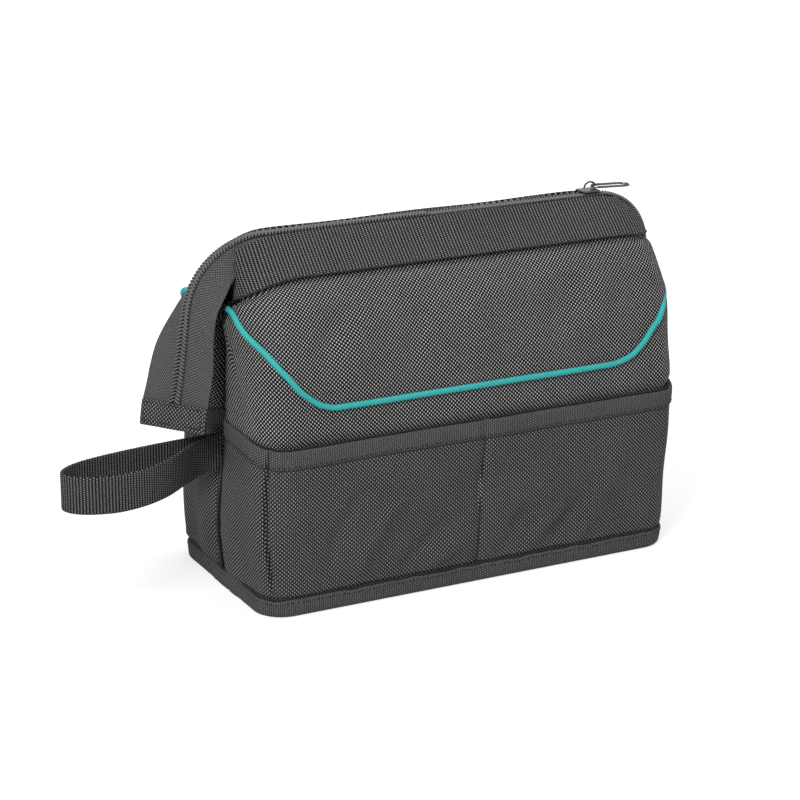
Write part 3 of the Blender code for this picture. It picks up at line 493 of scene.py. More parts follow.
binding = cloth_finish("binding tape", rib_weave, (0.0011, 0.0014), (0.190, 0.191, 0.192),
                       (0.010, 0.010, 0.011), depth=0.0002, rough=0.78, under=0.35)
tape = cloth_finish("zip tape", basket_weave, (0.0008, 0.0007), (0.235, 0.236, 0.237),
                    (0.024, 0.024, 0.025), depth=0.0002, rough=0.80, under=0.30)
lining_cloth = cloth_finish("thin lining cloth", basket_weave, (0.0004, 0.0004), (0.110, 0.111, 0.113),
                            (0.060, 0.061, 0.063), depth=0.00005, rough=0.50, under=0.8, sheen=0.05)
cloths = (upper_cloth, ballistic, band_webbing, loop_webbing, binding, tape, lining_cloth)
print("cloths:", [cloth.name for cloth in cloths])


# %% [markdown]
# The rest are solid finishes: the bright cord of the piping, the nylon coil, dark metal, sewing
# thread, which also colours the cords of painted shade in seams and gaps, and the board inside
# the bottom. Each gets a fine noise in colour, roughness and bump, because no real surface is even.

# %% Solid finishes
ROUGH_SPREAD = 0.15


def solid_finish(name, color, rough, metallic=0.0, grain=900.0, spread=0.15, depth=0.00008):
    """A plain finish with a fine noise in colour, roughness and bump."""
    material = bpy.data.materials.new(name)
    material.use_nodes = True
    tree = material.node_tree
    shader = tree.nodes["Principled BSDF"]
    spot = add_node(tree, "ShaderNodeTexCoord").outputs["Object"]
    noise = add_node(tree, "ShaderNodeTexNoise", {"Vector": spot, "Scale": grain, "Detail": 4.0}).outputs[0]
    low = tuple(value * (1 - spread) for value in color)
    high = tuple(min(value * (1 + spread), 1.0) for value in color)
    tree.links.new(blend_colors(tree, noise, low, high), shader.inputs["Base Color"])
    least, most = rough * (1 - ROUGH_SPREAD), min(rough * (1 + ROUGH_SPREAD), 1.0)
    tree.links.new(blend_values(tree, noise, least, most), shader.inputs["Roughness"])
    bump = add_node(tree, "ShaderNodeBump", {"Height": noise, "Distance": depth, "Strength": 0.6})
    tree.links.new(bump.outputs[0], shader.inputs["Normal"])
    shader.inputs["Metallic"].default_value = metallic
    return material


piping_cord = solid_finish("piping cord", (0.013, 0.340, 0.325), 0.62, grain=1500.0, spread=0.30, depth=0.0002)
coil_nylon = solid_finish("coil nylon", (0.095, 0.095, 0.097), 0.50)
gunmetal = solid_finish("gunmetal", (0.075, 0.075, 0.080), 0.30, metallic=1.0, grain=500.0)
# The same near-black thread finish also colours the seam cords, which are painted shade.
thread = solid_finish("sewing thread and painted seam shade", (0.003, 0.003, 0.003), 0.85)
board_plastic = solid_finish("board plastic", (0.080, 0.080, 0.082), 0.55, grain=300.0)
solids = (piping_cord, coil_nylon, gunmetal, thread, board_plastic)
print("solid finishes:", [solid.name for solid in solids])

# %% [markdown]
# Three small Geometry Nodes trees make what repeats or follows a path. One sweeps a round cord
# along a route, one sets copies of a small bead along a route (stitches, and the teeth of the
# zip), and one raises ribs on a strap. Each is turned into a plain mesh at once.


# %% Geometry Nodes helpers
def new_tree(name, sizes):
    """An empty tree with a geometry input, named number inputs and a material input."""
    tree = bpy.data.node_groups.new(name, "GeometryNodeTree")
    tree.interface.new_socket("Geometry", in_out="INPUT", socket_type="NodeSocketGeometry")
    for size in sizes:
        tree.interface.new_socket(size, in_out="INPUT", socket_type="NodeSocketFloat")
    tree.interface.new_socket("Material", in_out="INPUT", socket_type="NodeSocketMaterial")
    tree.interface.new_socket("Geometry", in_out="OUTPUT", socket_type="NodeSocketGeometry")
    return tree, tree.nodes.new("NodeGroupInput"), tree.nodes.new("NodeGroupOutput")


def end_tree(tree, start, geometry, stop):
    """Every tree ends in real geometry with its material set."""
    real = add_node(tree, "GeometryNodeRealizeInstances", {0: geometry})
    shaded = add_node(tree, "GeometryNodeSetShadeSmooth", {0: real.outputs[0]})
    painted = add_node(tree, "GeometryNodeSetMaterial",
                       {0: shaded.outputs[0], "Material": start.outputs["Material"]})
    tree.links.new(painted.outputs[0], stop.inputs[0])
    return tree


def run_tree(piece, tree, material, **sizes):
    """Give the tree its sizes by the sockets' identifiers, then keep the plain result."""
    modifier = piece.modifiers.new(tree.name, "NODES")
    modifier.node_group = tree
    for item in tree.interface.items_tree:
        if item.in_out == "INPUT" and item.name in sizes:
            modifier[item.identifier] = sizes[item.name]
        if item.in_out == "INPUT" and item.name == "Material":
            modifier[item.identifier] = material
    plain_mesh(piece)
    if material.name not in [m.name for m in piece.data.materials if m]:
        piece.data.materials.append(material)
    return piece


def route_piece(name, points, across=None):
    """A polyline to run a tree on. Each point may carry the direction that a bead lies along."""
    points = np.asarray(points, float)
    mesh = bpy.data.meshes.new(name)
    edges = [(index, index + 1) for index in range(len(points) - 1)]
    mesh.from_pydata(points.tolist(), edges, [])
    if across is not None:
        attribute = mesh.attributes.new("across", "FLOAT_VECTOR", "POINT")
        attribute.data.foreach_set("vector", np.asarray(across, np.float32).ravel())
    piece = bpy.data.objects.new(name, mesh)
    bpy.context.scene.collection.objects.link(piece)
    return piece


# %% A round cord along a route
CORD_SIDES = 12
cord_tree, start, stop = new_tree("cord along a route", ["Radius"])
line = add_node(cord_tree, "GeometryNodeMeshToCurve", {0: start.outputs[0]})
disc = add_node(cord_tree, "GeometryNodeCurvePrimitiveCircle",
                {"Resolution": CORD_SIDES, "Radius": start.outputs["Radius"]})
swept = add_node(cord_tree, "GeometryNodeCurveToMesh",
                 {0: line.outputs[0], 1: disc.outputs[0], "Fill Caps": True})
end_tree(cord_tree, start, swept.outputs[0], stop)

# %% Beads along a route
bead_tree, start, stop = new_tree("beads along a route", ["Pitch", "Length", "Width", "Height"])
line = add_node(bead_tree, "GeometryNodeMeshToCurve", {0: start.outputs[0]})
even = add_node(bead_tree, "GeometryNodeResampleCurve",
                {"Curve": line.outputs[0], "Length": start.outputs["Pitch"]}, mode="LENGTH")
named = add_node(bead_tree, "GeometryNodeInputNamedAttribute", {"Name": "across"}, data_type="FLOAT_VECTOR")
tangent = add_node(bead_tree, "GeometryNodeInputTangent")
turn = add_node(bead_tree, "FunctionNodeAlignRotationToVector", {"Vector": named.outputs[0]}, axis="X")
turn = add_node(bead_tree, "FunctionNodeAlignRotationToVector",
                {"Rotation": turn.outputs[0], "Vector": tangent.outputs[0]}, axis="Y", pivot_axis="X")
ball = add_node(bead_tree, "GeometryNodeMeshIcoSphere", {"Radius": 1.0, "Subdivisions": 2})
size = add_node(bead_tree, "ShaderNodeCombineXYZ", {0: start.outputs["Length"], 1: start.outputs["Width"],
                                                     2: start.outputs["Height"]})
placed = add_node(bead_tree, "GeometryNodeInstanceOnPoints",
                  {"Points": even.outputs[0], "Instance": ball.outputs[0], "Rotation": turn.outputs[0],
                   "Scale": size.outputs[0]})
end_tree(bead_tree, start, placed.outputs[0], stop)

# %% Ribs on a strap
rib_tree, start, stop = new_tree("ribs on a strap", ["Pitch", "Height"])
spot = add_node(rib_tree, "GeometryNodeInputNamedAttribute", {"Name": "cloth"}, data_type="FLOAT_VECTOR")
split = add_node(rib_tree, "ShaderNodeSeparateXYZ", {0: spot.outputs[0]})
count = calc(rib_tree, "FRACT", calc(rib_tree, "DIVIDE", split.outputs[0], start.outputs["Pitch"]))
wave = calc(rib_tree, "MULTIPLY", hump(rib_tree, count), start.outputs["Height"])
normal = add_node(rib_tree, "GeometryNodeInputNormal")
lift = add_node(rib_tree, "ShaderNodeVectorMath", {0: normal.outputs[0], "Scale": wave}, operation="SCALE")
raised = add_node(rib_tree, "GeometryNodeSetPosition", {0: start.outputs[0], "Offset": lift.outputs[0]})
end_tree(rib_tree, start, raised.outputs[0], stop)
print("trees:", [tree.name for tree in (cord_tree, bead_tree, rib_tree)])


# %% [markdown]
# Sewn edges show as short dashes of thread. A stitch is a bead that lies along its own route, so
# its "across" direction is the route's direction. Where a seam or a gap shows as a dark line of
# shadow, a thin near-black cord lies in it as painted shade: a gap alone would be too narrow to
# stay dark in soft light.

# %% Stitches and seam cords of painted shade
STITCH = {"pitch": 0.0030, "length": 0.0011, "width": 0.00033}
TAB_STITCH = {"pitch": 0.0026, "length": 0.0009, "width": 0.0003}
SEAM_SHADE_RADIUS = {"base": 0.0005, "pocket": 0.00028, "rim": 0.00055, "divider": 0.0004, "end": 0.0010, "band": 0.0005,
               "tape": 0.0005}


def stitches(name, points, pitch, length, width):
    """Dashes of thread along a route."""
    points = np.asarray(points, float)
    # A point that repeats the one before it has no direction, so it is left out.
    moved = np.linalg.norm(np.diff(points, axis=0), axis=1) > 1e-7
    points = points[np.concatenate([[True], moved])]
    run = np.gradient(points, axis=0)
    run /= np.linalg.norm(run, axis=1, keepdims=True)
    piece = route_piece(name, points, run)
    return run_tree(piece, bead_tree, thread, Pitch=pitch, Length=length, Width=width, Height=width)


def seam_shade_cord(name, points, kind):
    """A near-black cord along a route, as thick as its kind of seam: painted shade in a seam or a gap."""
    return run_tree(route_piece(name, points), cord_tree, thread, Radius=SEAM_SHADE_RADIUS[kind])


print("seam cords in mm:", {name: round(2000 * radius, 2) for name, radius in SEAM_SHADE_RADIUS.items()})

# %% [markdown]
# The seam with the bright piping runs level under the upper panel, then climbs the corners and
# goes over the ends. The wall ends in it from below and the upper panel from above.

# %% The piping's route
PIPING = {
    -1: ((0.000, 0.575), (0.410, 0.575), (0.450, 0.588), (0.490, 0.620), (0.535, 0.663), (0.590, 0.720),
         (0.645, 0.781), (0.680, 0.828), (0.710, 0.856), (0.750, 0.869), (0.780, 0.874), (1.0, 0.874)),
    1: ((0.000, 0.575), (0.370, 0.575), (0.410, 0.585), (0.435, 0.600), (0.460, 0.625), (0.495, 0.672),
        (0.545, 0.708), (0.600, 0.736), (0.645, 0.758), (0.680, 0.782), (0.710, 0.816), (0.740, 0.846),
        (0.765, 0.866), (0.790, 0.874), (1.0, 0.874)),
}
# A short moving average rounds the corners of the route.
fine_ways = np.linspace(-1, 1, 801)
fine_heights = np.array([np.interp(abs(way), *zip(*PIPING[-1 if way < 0 else 1])) for way in fine_ways])
window = np.hanning(17)
reach = len(window) // 2
fine_heights = np.convolve(np.pad(fine_heights, reach, mode="edge"), window / window.sum(), mode="valid")


def piping_height(way):
    """Height of the piping at a way round the body."""
    return np.interp(way, fine_ways, fine_heights)


print("piping from", round(float(piping_height(0)), 3), "to", round(float(piping_height(0.78)), 3))


# %% [markdown]
# Heavy cloth that has been folded and packed is never flat. A cloth simulation could crumple it,
# but not at the places where this pouch has its folds. So a few long soft folds and a slow swell
# are added to the skin's offset before the meshes are made, and neighbouring pieces share them
# and stay together.

# %% Soft folds
FOLDS = {
    # way and height of both ends, half width and depth; below 0 is a valley.
    "front": (
        ((-0.592, 0.001), (-0.588, 0.62), 0.0010, -0.0024),
        ((-0.592, 0.001), (-0.588, 0.30), 0.0010, -0.0010),
        ((-0.560, 0.001), (-0.556, 0.62), 0.0035, 0.0008),
        ((-0.630, 0.001), (-0.624, 0.52), 0.0035, 0.0012),
        ((-0.420, 0.06), (-0.300, 0.36), 0.0050, -0.0018),
        ((-0.350, 0.04), (-0.190, 0.32), 0.0050, 0.0020),
        ((-0.230, 0.05), (-0.040, 0.22), 0.0045, -0.0017),
        ((-0.160, 0.04), (-0.010, 0.14), 0.0045, 0.0015),
        ((-0.300, 0.42), (-0.120, 0.20), 0.0060, 0.0014),
        ((0.060, 0.05), (0.190, 0.24), 0.0042, -0.0015),
        ((0.120, 0.03), (0.270, 0.20), 0.0042, 0.0018),
        ((0.190, 0.04), (0.330, 0.22), 0.0040, -0.0016),
        ((0.260, 0.03), (0.370, 0.15), 0.0040, 0.0012),
        ((0.420, 0.42), (0.300, 0.10), 0.0060, 0.0014),
        ((-0.360, 0.60), (-0.220, 0.86), 0.0090, 0.0020),
        ((-0.180, 0.62), (-0.100, 0.84), 0.0080, -0.0020),
        ((0.200, 0.62), (0.320, 0.86), 0.0090, -0.0020),
        ((0.060, 0.60), (0.020, 0.86), 0.0090, 0.0017),
        ((-0.450, 0.66), (-0.330, 0.84), 0.0070, -0.0017),
        ((0.330, 0.64), (0.400, 0.84), 0.0080, 0.0016),
    ),
    "back": (
        ((0.645, 0.02), (0.640, 0.48), 0.0020, -0.0013),
        ((0.400, 0.06), (0.280, 0.34), 0.0055, -0.0019),
        ((0.300, 0.04), (0.150, 0.28), 0.0050, 0.0019),
        ((-0.100, 0.06), (-0.220, 0.26), 0.0045, -0.0016),
        ((-0.260, 0.04), (-0.360, 0.20), 0.0045, 0.0017),
        ((-0.440, 0.40), (-0.320, 0.12), 0.0060, 0.0015),
        ((0.300, 0.60), (0.180, 0.84), 0.0090, 0.0019),
        ((-0.140, 0.62), (-0.260, 0.86), 0.0090, -0.0019),
    ),
}


def dip(distance, width, depth):
    """A narrow valley, such as the one a tight seam pulls into cloth."""
    return -depth * np.exp(-((np.asarray(distance) / width) ** 2))


print("folds:", {half: len(rows) for half, rows in FOLDS.items()})


# %% Swell, puffs and corners
SWELL = 0.00050
# A fold bows sideways by this share of its length, and fades out over this share at each end.
FOLD_BOW, FOLD_FADE = 0.06, 0.35
# Height of the puff beside the end seam, its distance from the seam and its half width.
PUFF, PUFF_PLACE, PUFF_WIDTH = 0.0024, 0.017, 0.011
SEAM_DIP, SEAM_DIP_WIDTH = 0.0026, 0.0032
# The back left corner: how far it stands out, its way and height, and its spread in both.
CORNER_BULGE, CORNER_PLACE, CORNER_SPREAD = 0.0110, (-0.68, 0.835), (0.065, 0.055)
FOOT_BULGE, FOOT_WAY, FOOT_SPREAD = 0.0026, -0.62, 0.09


def hill(distance, width):
    """1 in the middle, falling to nothing on both sides."""
    return np.exp(-((distance / width) ** 2))


def folds(half, place):
    """The long folds, each a ridge or a valley between two spots of the cloth."""
    total = np.zeros(place.shape[:-1])
    for start_spot, stop_spot, width, depth in FOLDS[half]:
        start, stop = cloth_map(*map(np.array, start_spot)), cloth_map(*map(np.array, stop_spot))
        run = stop - start
        length = np.linalg.norm(run)
        run = run / length
        ahead = (place - start) @ run
        aside = (place - start) @ np.array([-run[1], run[0]])
        bow = FOLD_BOW * length * np.sin(np.pi * np.clip(ahead / length, 0, 1))
        fade = smooth(ahead / (FOLD_FADE * length)) * smooth((length - ahead) / (FOLD_FADE * length))
        total += depth * fade * hill(aside - bow, width)
    return total


def rumple(half, way, height):
    """How far the cloth stands out of the ideal skin, in metres."""
    way, height = np.broadcast_arrays(np.asarray(way, float), np.asarray(height, float))
    place = cloth_map(way, height)
    u, v = place[..., 0], place[..., 1]
    swell = np.sin(u * 61 + 1.3) * np.sin(v * 83 + 0.4)
    swell = swell + 0.6 * np.sin(u * 113 + v * 71) + 0.4 * np.sin(u * 37 - v * 149)
    still = smooth((height - 0.01) / 0.08) * (1 - smooth((height - 0.80) / 0.08))
    total = (folds(half, place) + SWELL * swell) * still
    # The end seam draws the cloth in below the gusset, and both sides of it puff out.
    from_seam = np.abs(cloth_map(np.sign(way + 1e-9), height)[..., 0]) - np.abs(u)
    low_down = smooth(height / 0.06) * (1 - smooth((height - 0.22) / 0.14))
    total += PUFF * hill(from_seam - PUFF_PLACE, PUFF_WIDTH) * low_down
    drawn = smooth(height / 0.03) * (1 - smooth((height - 0.36) / 0.10))
    total += dip(from_seam, SEAM_DIP_WIDTH, SEAM_DIP) * drawn
    if half == "back":
        # The back left corner stands out just above the foot, and again under the zip tape.
        low_down = smooth((height - 0.046) / 0.02) * (1 - smooth((height - 0.10) / 0.16))
        total += FOOT_BULGE * hill(way - FOOT_WAY, FOOT_SPREAD) * low_down
        across, up = way - CORNER_PLACE[0], height - CORNER_PLACE[1]
        total += CORNER_BULGE * hill(across, CORNER_SPREAD[0]) * hill(up, CORNER_SPREAD[1])
    return total


print("offset of the cloth at the end seams:", round(1000 * float(rumple("front", 1.0, 0.2)), 2), "mm")

# %% [markdown]
# The bottom is a stiff board between two cloths, and a folded binding covers the edge where the
# bottom meets the walls. The binding wraps: up the wall on one side, under the bottom on the
# other.

# %% Base cloth
RING_STEPS = 161
BASE_LEVEL, BASE_ROWS = 0.0006, 13
ways = np.linspace(-1, 1, RING_STEPS)
front_edge = on_skin("front", ways, np.full(RING_STEPS, 0.004))
rows = np.stack([mix(front_edge, front_edge * (1, -1, 1), share) for share in np.linspace(0, 1, BASE_ROWS)])
rows[..., 2] = BASE_LEVEL
base_cloth = sheet("base_cloth", rows, rows[..., :2], THICK["base"], ballistic, turned=True)
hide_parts("base_panel")
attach(base_cloth, "pouch")
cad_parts["base_board"].data.materials.clear()
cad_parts["base_board"].data.materials.append(board_plastic)

# %% Base binding
# Height and offset of the folded tape, from its upper edge on the wall to its edge under the base.
BINDING_PROFILE = ((0.0095, -0.0002), (0.0097, 0.0006), (0.0092, 0.0011), (0.0078, 0.0012), (0.005, 0.0012),
                   (0.0025, 0.0012), (0.0010, 0.0010), (0.0003, 0.0005), (0.0001, -0.0004), (0.0001, -0.0025),
                   (0.0001, -0.0065))
WOBBLE, WOBBLE_HEIGHT = 0.0004, 0.0095


def wrap_ring(profile):
    """Points of a band round the whole foot: each row is a height and an offset."""
    rows, maps = [], []
    run = 0.0
    for index, (z, offset) in enumerate(profile):
        if index:
            run += math.dist((z, offset), profile[index - 1])
        share = np.full(RING_STEPS, z / MOUTH_HEIGHT)
        halves = [on_skin(half, ways, share, np.full(RING_STEPS, offset)) for half in HALVES]
        line = np.concatenate([halves[0], halves[1][::-1]])
        around = sample(distances, ways, share)[..., 0]
        # The tape's upper edge isn't sewn quite straight.
        wobble = np.sin(around * 190) * np.sin(around * 61) + 0.5 * np.sin(around * 430)
        line[:, 2] = z + WOBBLE * z / WOBBLE_HEIGHT * np.concatenate([wobble, wobble[::-1]])
        length = np.concatenate([around, 2 * around[-1] - around[::-1], [3 * around[-1] - around[0]]])
        rows.append(line)
        maps.append(np.stack([length, np.full(len(length), run)], axis=1))
    return np.array(rows), np.array(maps)


points, cloth = wrap_ring(BINDING_PROFILE)
base_binding = sheet("base_binding_wrap", points[::-1], cloth[::-1], THICK["binding"], binding, ring=True)
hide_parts("base_binding")
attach(base_binding, "pouch")

# %% Base stitches and seam shade
(seam,), _ = wrap_ring([(0.0080, 0.00115)])
base_stitches = stitches("base_stitches", np.concatenate([seam, seam[:1]]), **STITCH)
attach(base_stitches, "pouch")
# A near-black cord above the binding's upper edge paints the shadow in the seam.
(seam,), _ = wrap_ring([(0.0104, -0.0003)])
base_seam_shade = seam_shade_cord("base_seam_shade", np.concatenate([seam, seam[:1]]), "base")
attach(base_seam_shade, "pouch")
print("base:", len(base_binding.data.polygons), "faces of binding,", len(base_stitches.data.vertices), "of stitches")

# %% [markdown]
# Walls and pockets. A wall wraps both ends of its half and ends at a fold, where the thin gusset
# begins. In front of it stands the pocket, a second layer that is sewn down at the foot, at the
# ends and along the middle.

# %% Walls
WALL_FOOT, WALL_END_LOW, WALL_END_HIGH = 0.012, 0.995, 0.905
# The slack is for what the pocket holds. Near the pocket's top the wall comes back out.
POCKET_SLACK, TOP_SLACK, POCKET_LAYER, FLUSH = 0.0062, 0.0016, 0.0016, 0.0002


def fold_limit(way, height):
    """Low down the wall reaches the end seam; higher it stops at the fold."""
    beyond = np.clip((np.abs(way) - CORNER_STOP) / (1.0 - CORNER_STOP), 0, 1)
    limit = mix(WALL_END_LOW, WALL_END_HIGH, smooth((height - 0.44) / 0.05))
    return np.where(np.abs(way) <= CORNER_STOP, way, np.sign(way) * mix(CORNER_STOP, limit, beyond))


def behind_pocket(way, height):
    """The wall stands in behind its pocket, so that the pocket can hold something."""
    across = np.abs(way)
    slack = POCKET_SLACK * smooth(across / 0.09) * smooth((1.0 - across) / 0.26) * smooth(height / 0.09)
    slack = mix(slack, TOP_SLACK, smooth((height - 0.28) / 0.14))
    return mix(-POCKET_LAYER - slack, -FLUSH, smooth((height - 0.468) / 0.045))


wall_ways = np.linspace(-1, 1, 241)
for half in HALVES:
    share = np.linspace(0, 1, 71)[:, None]
    height = mix(WALL_FOOT, piping_height(wall_ways)[None, :], share)
    way = fold_limit(np.broadcast_to(wall_ways, height.shape), height)
    lift = behind_pocket(way, height) + rumple(half, way, height) * smooth((height - 0.5) / 0.06)
    wall = sheet(f"{half}_wall_cloth", on_skin(half, way, height, lift), cloth_map(way, height), THICK["wall"],
                 upper_cloth, turned=half == "back")
    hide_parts(f"{half}_wall")
    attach(wall, "pouch")
    print(wall.name, len(wall.data.polygons), "faces")

# %% Pockets
POCKET_FOOT, POCKET_TOP, POCKET_TOP_END, TOP_TUCK = 0.008, 0.475, 0.515, 0.002
# The line leans from this way at the foot, by this much for each unit of height.
DIVIDER_FOOT, DIVIDER_LEAN = -0.004, 0.048
DIVIDER_DIP, DIVIDER_WIDTH, WAY_LENGTH = 0.0014, 0.0032, 0.240
# The binding's edge presses a groove into the pocket's foot.
GROOVE_HEIGHT, GROOVE_WIDTH, GROOVE = 0.053, 0.006, 0.0012


def pocket_top(way):
    """Height of the pocket's top edge, a little higher at the ends."""
    return mix(POCKET_TOP, POCKET_TOP_END, smooth((np.abs(way) - 0.55) / 0.45))


def divider_way(height):
    """The stitched line down the middle of the pocket leans a little to the right."""
    return DIVIDER_FOOT + DIVIDER_LEAN * height


def divider(way, height):
    """That line pulls the cloth in."""
    return dip((way - divider_way(height)) * WAY_LENGTH, DIVIDER_WIDTH, DIVIDER_DIP)


# Columns are closer together at the divider and at the creases.
pocket_ways = np.unique(np.concatenate([
    np.linspace(-1, 1, 241), np.linspace(-0.03, 0.05, 33), np.linspace(-0.64, -0.55, 46), np.linspace(0.61, 0.69, 41)
]))
for half in HALVES:
    # Rows are closer together near the groove.
    share = np.unique(np.concatenate([np.linspace(0, 1, 61), np.linspace(0, 0.2, 30)]))[:, None]
    height = mix(POCKET_FOOT, pocket_top(pocket_ways)[None, :] - TOP_TUCK, share)
    way = np.broadcast_to(pocket_ways, height.shape)
    lift = rumple(half, way, height) + divider(way, height) + dip(height - GROOVE_HEIGHT, GROOVE_WIDTH, GROOVE)
    pocket = sheet(f"{half}_pocket_cloth", on_skin(half, way, height, lift), cloth_map(way, height), THICK["pocket"],
                   ballistic, turned=half == "back")
    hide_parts(f"{half}_pocket")
    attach(pocket, "pouch")

# %% Pocket bindings
# Height from the pocket's top edge and offset, from the tape's lower edge over the fold and down inside.
POCKET_FOLD = ((-0.0100, -0.0001), (-0.0099, 0.0005), (-0.0092, 0.0008), (-0.0060, 0.0010), (-0.0025, 0.0011),
               (-0.0008, 0.0010), (0.0001, 0.0006), (0.0003, -0.0001), (0.0000, -0.0008), (-0.0010, -0.0013),
               (-0.0080, -0.0013))
near = np.clip(pocket_ways, -0.985, 0.985)


def bind_pocket(half):
    """A folded tape over the pocket's top edge."""
    height = np.array([pocket_top(near) + rise / MOUTH_HEIGHT for rise, _ in POCKET_FOLD])
    way = np.broadcast_to(near, height.shape)
    lift = np.array([np.full(len(near), offset) for _, offset in POCKET_FOLD])
    lift = lift + rumple(half, way, height) + divider(way, height)
    run = np.cumsum([0.0] + [math.dist(a, b) for a, b in zip(POCKET_FOLD, POCKET_FOLD[1:])])
    cloth = cloth_map(way, np.broadcast_to(pocket_top(near), height.shape)).copy()
    cloth[..., 1] = run[:, None]
    top = sheet(f"{half}_pocket_binding_fold", on_skin(half, way, height, lift), cloth, THICK["binding"], binding,
                turned=half == "back")
    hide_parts(f"{half}_pocket_binding")
    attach(top, "pouch")


# %% Pocket seams and their painted shade
# Rise above the pocket's top edge and offset of its stitches, its lower seam's painted shade and its rim's painted
# shade.
STITCH_RISE, STITCH_OFFSET = -0.0086, 0.0009
SEAM_RISE = -0.0103
RIM_RISE, RIM_OFFSET, RIM_FOLLOW = 0.0006, -0.0016, 0.7
DIVIDER_RISE, DIVIDER_OFFSET = np.linspace(0.05, 0.422, 80), 0.0001


def sew_pocket(half):
    """Stitches along the binding, and near-black cords of painted shade below it, at the rim and down the middle."""
    level = pocket_top(near) + STITCH_RISE / MOUTH_HEIGHT
    lift = STITCH_OFFSET + rumple(half, near, level) + divider(near, level)
    sewn = stitches(f"{half}_pocket_stitches", on_skin(half, near, level, lift), **STITCH)
    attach(sewn, "pouch")
    # A near-black cord under the binding's lower edge paints the shadow of the seam.
    level = pocket_top(near) + SEAM_RISE / MOUTH_HEIGHT
    lift = rumple(half, near, level) + divider(near, level)
    edge = seam_shade_cord(f"{half}_pocket_seam_shade", on_skin(half, near, level, lift), "pocket")
    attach(edge, "pouch")
    # The top edge stands a little off the wall, and a near-black cord in that gap paints its shadow.
    level = pocket_top(near) + RIM_RISE / MOUTH_HEIGHT
    lift = RIM_OFFSET + rumple(half, near, level) * RIM_FOLLOW
    edge = seam_shade_cord(f"{half}_pocket_rim_shade", on_skin(half, near, level, lift), "rim")
    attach(edge, "pouch")
    # A near-black cord down the middle paints the shade in the dip of the stitched line.
    rise = DIVIDER_RISE
    line_way = divider_way(rise)
    lift = divider(line_way, rise) + rumple(half, line_way, rise) + DIVIDER_OFFSET
    sewn = seam_shade_cord(f"{half}_divider_seam_shade", on_skin(half, line_way, rise, lift), "divider")
    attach(sewn, "pouch")


for half in HALVES:
    bind_pocket(half)
    sew_pocket(half)

# %% End seams of painted shade
SIDES = {"left": -1, "right": 1}
# Each end has one seam between its two halves, from above the binding to below the gusset, and a near-black cord in
# it paints the seam's shadow.
END_RISE, END_OFFSET = np.linspace(0.05, 0.46, 60), 0.0027
for word, side in SIDES.items():
    end = side * np.ones(len(END_RISE))
    seam = on_skin("front", end, END_RISE, rumple("front", end, END_RISE) + END_OFFSET)
    seam[:, 1] = 0.0
    edge = seam_shade_cord(f"{word}_end_seam_shade", seam, "end")
    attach(edge, "pouch")
print("pockets, bindings and end seams done")

# %% [markdown]
# The piping is a bright cord sewn into the seam. It is swept along the seam's route, half sunk
# between wall and panel.

# %% Piping
PIPING_RADIUS, PIPING_WAYS = 0.0016, np.linspace(-0.79, 0.79, 420)
# On the right corner the cord sinks deeper into the seam.
PROUD, SUNK, SINK_WAY, SINK_RUN = 0.0009, -0.0013, 0.51, 0.10
for half in HALVES:
    way, height = PIPING_WAYS, piping_height(PIPING_WAYS)
    proud = mix(PROUD, SUNK, smooth((way - SINK_WAY) / SINK_RUN))
    route = on_skin(half, way, height, proud + rumple(half, way, height))
    cord = run_tree(route_piece(f"{half}_piping_cord", route), cord_tree, piping_cord, Radius=PIPING_RADIUS)
    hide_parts(f"{half}_piping")
    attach(cord, "pouch")
    run = np.linalg.norm(np.diff(route, axis=0), axis=1).sum()
    print(f"{cord.name}: {1000 * run:.0f} mm long")

# %% [markdown]
# Everything above the piping opens with the mouth. The middle leans out with the mouth's body
# while both ends stay with the pouch, and each of these pieces is made as a left and a right
# half. The halves meet at the middle.


def hold(piece):
    """Bakes the piece's placement into its mesh."""
    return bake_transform(piece)


def from_left(side, ways):
    """Columns of a half run from the middle outwards; a left half is turned to run left to right."""
    return side * ways if side > 0 else (side * ways)[::-1]


# %% Upper panels
PANEL_TOP, PANEL_END, PANEL_COLUMNS, PANEL_ROWS = 0.985, 0.97, 131, 56
# Rows are a little closer together at the top.
ROW_POWER = 0.9
STEP_FOOT, STEP_RUN, STEP_IN = 0.874, 0.026, 0.0020
# The band's lower edge presses a groove into the panel.
PANEL_GROOVE_HEIGHT, PANEL_GROOVE = 0.899, 0.0010


def under_band(height):
    """The upper panel steps in to lie under the webbing."""
    return mix(-FLUSH, -STEP_IN, smooth((height - STEP_FOOT) / STEP_RUN))


for half in HALVES:
    for word, side in SIDES.items():
        columns = from_left(side, np.linspace(0, PANEL_END, PANEL_COLUMNS))
        share = np.linspace(0, 1, PANEL_ROWS)[:, None] ** ROW_POWER
        height = mix(piping_height(columns)[None, :], PANEL_TOP, share)
        way = np.broadcast_to(columns, height.shape)
        groove = dip(height - PANEL_GROOVE_HEIGHT, GROOVE_WIDTH, PANEL_GROOVE)
        lift = under_band(height) + rumple(half, way, height) + groove
        panel = sheet(f"{half}_panel_cloth_{word}", on_skin(half, way, height, lift), cloth_map(way, height),
                      THICK["panel"], upper_cloth, turned=half == "back")
        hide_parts(f"{half}_panel", f"{half}_panel_{word}_end")
        hold(panel)

# %% Webbing bands
BAND_FOOT, BAND_END, BAND_COLUMNS, BAND_ROWS = 0.905, 0.955, 421, 15
BAND_SWELL, BAND_RIB_HEIGHT = 0.0003, 0.00022
BAND_SEAM_DROP = 0.0015


